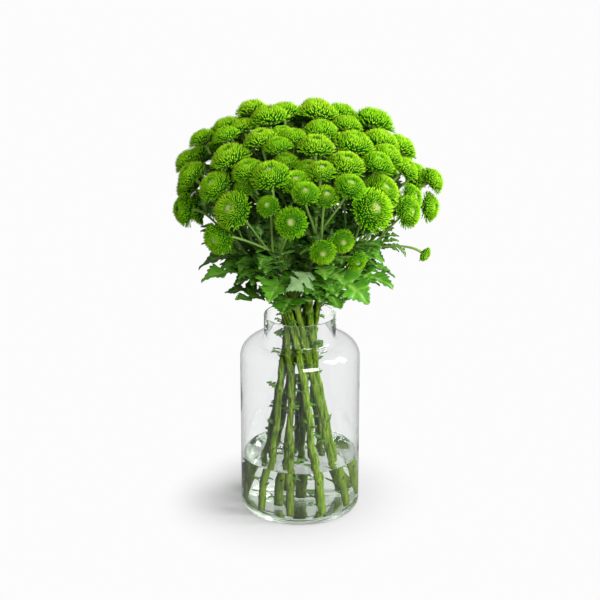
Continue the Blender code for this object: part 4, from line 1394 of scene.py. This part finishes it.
def add_softbox(name, bearing, climb, away, width, height, power):
    """A rectangular lamp that points at the bunch."""
    lamp = bpy.data.lights.new(name, "AREA")
    lamp.shape, lamp.size, lamp.size_y, lamp.energy = "RECTANGLE", width, height, power
    made = linked(name, lamp)
    up = math.radians(climb)
    position = LAMP_AIM + spot(bearing, away * math.cos(up), away * math.sin(up))
    made.location = position
    made.rotation_euler = Vector(LAMP_AIM - position).to_track_quat("-Z", "Y").to_euler()


def make_floor(settings):
    """The paper that the jar stands on, wide enough to pass out of sight."""
    mesh = bpy.data.meshes.new("floor")
    corners = [(FLOOR_HALF * x, FLOOR_HALF * y, 0) for x, y in ((-1, -1), (1, -1), (1, 1), (-1, 1))]
    mesh.from_pydata(corners, [], [(0, 1, 2, 3)])
    mesh.materials.append(floor_material(settings))
    floor = linked("floor", mesh)


def make_world(settings):
    """The white studio all round, which is also the fill light."""
    world = bpy.data.worlds.new("studio")
    bpy.context.scene.world = world
    world.use_nodes = True
    tree = world.node_tree
    tree.nodes.clear()
    strength = shown_strength(tree, settings.fill)
    sky = node(tree, "ShaderNodeBackground", links={"Color": settings.backdrop, "Strength": strength})
    node(tree, "ShaderNodeOutputWorld", links={"Surface": sky.outputs[0]})


def place_camera():
    """The camera, in front of the bunch and looking down on it, and how light is traced for it."""
    lens = bpy.data.cameras.new("camera")
    lens.lens, lens.sensor_width = CAMERA_LENS, CAMERA_FRAME
    lens.clip_start, lens.clip_end = 0.05, 50
    camera = linked("camera", lens)
    up = math.radians(CAMERA_CLIMB)
    camera.location = (0, -CAMERA_AWAY * math.cos(up), CAMERA_AIM + CAMERA_AWAY * math.sin(up))
    camera.rotation_euler = (math.radians(90 - CAMERA_CLIMB), 0, 0)
    bpy.context.scene.camera = camera
    bpy.context.scene.view_settings.view_transform = "Standard"
    paths = bpy.context.scene.cycles
    paths.caustics_reflective = paths.caustics_refractive = False
    paths.max_bounces, paths.glossy_bounces, paths.transmission_bounces = 72, 48, 48
    paths.transparent_max_bounces = 32


def make_stage(settings):
    """The floor, the studio's light, the lamps and the camera."""
    make_floor(settings)
    make_world(settings)
    for name, bearing, climb, away, width, height, power, share in SOFTBOXES:
        add_softbox(name, bearing, climb, away, width, height, getattr(settings, power) * share)
    place_camera()


# ------------------------------------------------------------ what a user can change


def colour_property(name, code, description):
    """A colour that a user can change, with its default in sRGB hex."""
    return FloatVectorProperty(
        name=name, description=description, subtype="COLOR", size=3, min=0, max=1, default=linear(code)
    )


def light_property(name, watts, description):
    """A lamp's power."""
    return FloatProperty(name=name, description=description, default=watts, min=0, unit="POWER")


def length_property(name, metres, description):
    """A length on the floor."""
    return FloatProperty(name=name, description=description, default=metres, min=0, unit="LENGTH")


class PosyJarSettings(bpy.types.PropertyGroup):
    glass_tint: colour_property("Glass tint", "#FCFDFD", "Colour that the glass gives the light at each skin")
    steps: IntProperty(name="Steps", description="Facets round the jar", default=144, min=24, max=360)


class PosyWaterSettings(bpy.types.PropertyGroup):
    tint: colour_property("Water tint", "#F5FBF3", "Colour that the water gives the light at each skin")
    steps: IntProperty(name="Steps", description="Facets round the water", default=144, min=24, max=360)


class PosyCaneSettings(bpy.types.PropertyGroup):
    bark: colour_property("Bark", "#7EA426", "Dry cane, most of it")
    bark_dark: colour_property("Bark in shade", "#2C4C08", "Dry cane, darkest streaks")
    bark_light: colour_property("Bark ribs", "#C0D468", "Dry cane, palest streaks")
    wet: colour_property("Wet bark", "#A0C030", "Cane under the water")
    wet_dark: colour_property("Wet bark in shade", "#486C0A", "Cane under the water, darkest streaks")
    joint: colour_property("Joints", "#93A45C", "The rings where leaves grew")
    joint_swell: FloatProperty(
        name="Joint swell",
        description="How much wider a joint is, as a share of the cane's radius",
        default=0.14,
        min=0,
        max=0.5,
        subtype="FACTOR",
    )


class PosyLeafSettings(bpy.types.PropertyGroup):
    top_dark: colour_property("Blade, dark", "#0C4004", "Upper side, darkest patches")
    top_light: colour_property("Blade, light", "#438A10", "Upper side, lightest patches")
    top_young: colour_property("Young blade", "#66AC2C", "Upper side of a young leaf")
    vein: colour_property("Veins", "#8ABC4C", "Veins on the upper side")
    underside: colour_property("Underside", "#40702A", "Downy lower side")
    under_vein: colour_property("Veins below", "#86A06A", "Veins on the lower side")
    felt: colour_property("Felted underside", "#8AB074", "Thick pale down under the turned leaf")


class PosyShootSettings(bpy.types.PropertyGroup):
    stalk: colour_property("Stalk", "#7CA446", "Side shoots, most of them")
    stalk_dark: colour_property("Stalk in shade", "#527F2C", "Side shoots, darkest streaks")
    stalk_tip: colour_property("Stalk tip", "#8CB052", "Stalks next to their flowers")
    small_leaf: FloatVectorProperty(
        name="Small leaves",
        description="Shortest and longest small leaf, in millimetres",
        default=(24, 40),
        size=2,
        min=0,
    )


class PosyFlowerSettings(bpy.types.PropertyGroup):
    # The floret root colour is partly the florets' own green and partly painted shade, deep between them.
    root: colour_property("Floret root", "#164E04", "Deep between the florets")
    middle: colour_property("Floret middle", "#58AE08", "Half way up a floret")
    bright: colour_property("Floret end", "#86CC08", "Near a floret's end")
    tip: colour_property("Floret tip", "#BAE628", "The rounded tip")
    tip_warm: colour_property("Warm tip", "#DAEA42", "The tip on the yellower heads")
    eye: colour_property("Eye", "#CCC684", "The closed florets in the middle")
    eye_green: colour_property("Green eye", "#347A06", "The closed florets of the greener heads")
    calyx: colour_property("Calyx", "#5F8F35", "The green scales under the head")


class PosyStageSettings(bpy.types.PropertyGroup):
    paper: colour_property("Paper", "#DCDCDC", "Floor round the jar")
    backdrop: colour_property("Backdrop", "#FCFCFC", "Background and far floor")
    fade_start: length_property("Fade start", 0.075, "How far out the floor begins to fade")
    fade_end: length_property("Fade end", 0.175, "How far out the floor is all backdrop")
    fill: FloatProperty(
        name="Fill light", description="Strength of the light from all round", default=0.30, min=0
    )
    key_power: light_property("Key light", 34, "Both softboxes on the right together")
    front_power: light_property("Front light", 54, "The softbox in front")
    top_power: light_property("Top light", 5, "The softbox overhead")


def leaf_skin_of(scene):
    """The leaf material, made once and shared by every leaf."""
    return bpy.data.materials.get("satin_leaf_blade") or leaf_material(scene.posy_leaf)


class POSY_OT_jar(bpy.types.Operator):
    """Turn the glass jar"""

    bl_idname = "posy.jar"
    bl_label = "Jar"

    def execute(self, context):
        make_jar(context.scene.posy_jar)
        return {"FINISHED"}


class POSY_OT_water(bpy.types.Operator):
    """Fill the jar with water"""

    bl_idname = "posy.water"
    bl_label = "Water"

    def execute(self, context):
        make_water(context.scene.posy_water)
        return {"FINISHED"}


class POSY_OT_canes(bpy.types.Operator):
    """Grow the canes that stand in the water"""

    bl_idname = "posy.canes"
    bl_label = "Canes"

    def execute(self, context):
        make_canes(context.scene.posy_cane, leaf_skin_of(context.scene))
        return {"FINISHED"}


class POSY_OT_leaves(bpy.types.Operator):
    """Grow the large leaves below the flowers"""

    bl_idname = "posy.leaves"
    bl_label = "Large leaves"

    def execute(self, context):
        make_leaves(leaf_skin_of(context.scene))
        make_ruff(leaf_skin_of(context.scene))
        return {"FINISHED"}


class POSY_OT_shoots(bpy.types.Operator):
    """Grow the side shoots, their stalks and their small leaves"""

    bl_idname = "posy.shoots"
    bl_label = "Side shoots"

    def execute(self, context):
        make_shoots(context.scene.posy_shoot, leaf_skin_of(context.scene))
        return {"FINISHED"}


class POSY_OT_flowers(bpy.types.Operator):
    """Open the flower heads"""

    bl_idname = "posy.flowers"
    bl_label = "Flower heads"

    def execute(self, context):
        make_flowers(context.scene.posy_flower)
        return {"FINISHED"}


class POSY_OT_stage(bpy.types.Operator):
    """Lay the floor, hang the lamps and place the camera"""

    bl_idname = "posy.stage"
    bl_label = "Stage"

    def execute(self, context):
        make_stage(context.scene.posy_stage)
        return {"FINISHED"}


class POSY_PT_panel(bpy.types.Panel):
    """The posy's pieces and their settings"""

    bl_label = "Button chrysanthemums"
    bl_idname = "POSY_PT_panel"
    bl_space_type = "VIEW_3D"
    bl_region_type = "UI"
    bl_category = "Posy"

    def draw(self, context):
        for name, group, operator in GROUPS:
            box = self.layout.box()
            box.operator(operator.bl_idname)
            for key in group.__annotations__:
                box.prop(getattr(context.scene, name), key)


# Each group of settings: its name in the scene, its class and the operator that reads it.
GROUPS = (
    ("posy_jar", PosyJarSettings, POSY_OT_jar),
    ("posy_water", PosyWaterSettings, POSY_OT_water),
    ("posy_cane", PosyCaneSettings, POSY_OT_canes),
    ("posy_leaf", PosyLeafSettings, POSY_OT_leaves),
    ("posy_shoot", PosyShootSettings, POSY_OT_shoots),
    ("posy_flower", PosyFlowerSettings, POSY_OT_flowers),
    ("posy_stage", PosyStageSettings, POSY_OT_stage),
)


def register():
    """Register the settings, the operators and the panel."""
    for name, group, operator in GROUPS:
        bpy.utils.register_class(group)
        bpy.utils.register_class(operator)
        setattr(bpy.types.Scene, name, PointerProperty(type=group))
    bpy.utils.register_class(POSY_PT_panel)


def unregister():
    """Take them all out again."""
    bpy.utils.unregister_class(POSY_PT_panel)
    for name, group, operator in reversed(GROUPS):
        delattr(bpy.types.Scene, name)
        bpy.utils.unregister_class(operator)
        bpy.utils.unregister_class(group)


def main():
    """Make every piece and the stage."""
    register()
    bpy.ops.posy.jar()
    bpy.ops.posy.water()
    bpy.ops.posy.canes()
    bpy.ops.posy.leaves()
    bpy.ops.posy.shoots()
    bpy.ops.posy.flowers()
    bpy.ops.posy.stage()


if __name__ == "__main__":
    main()
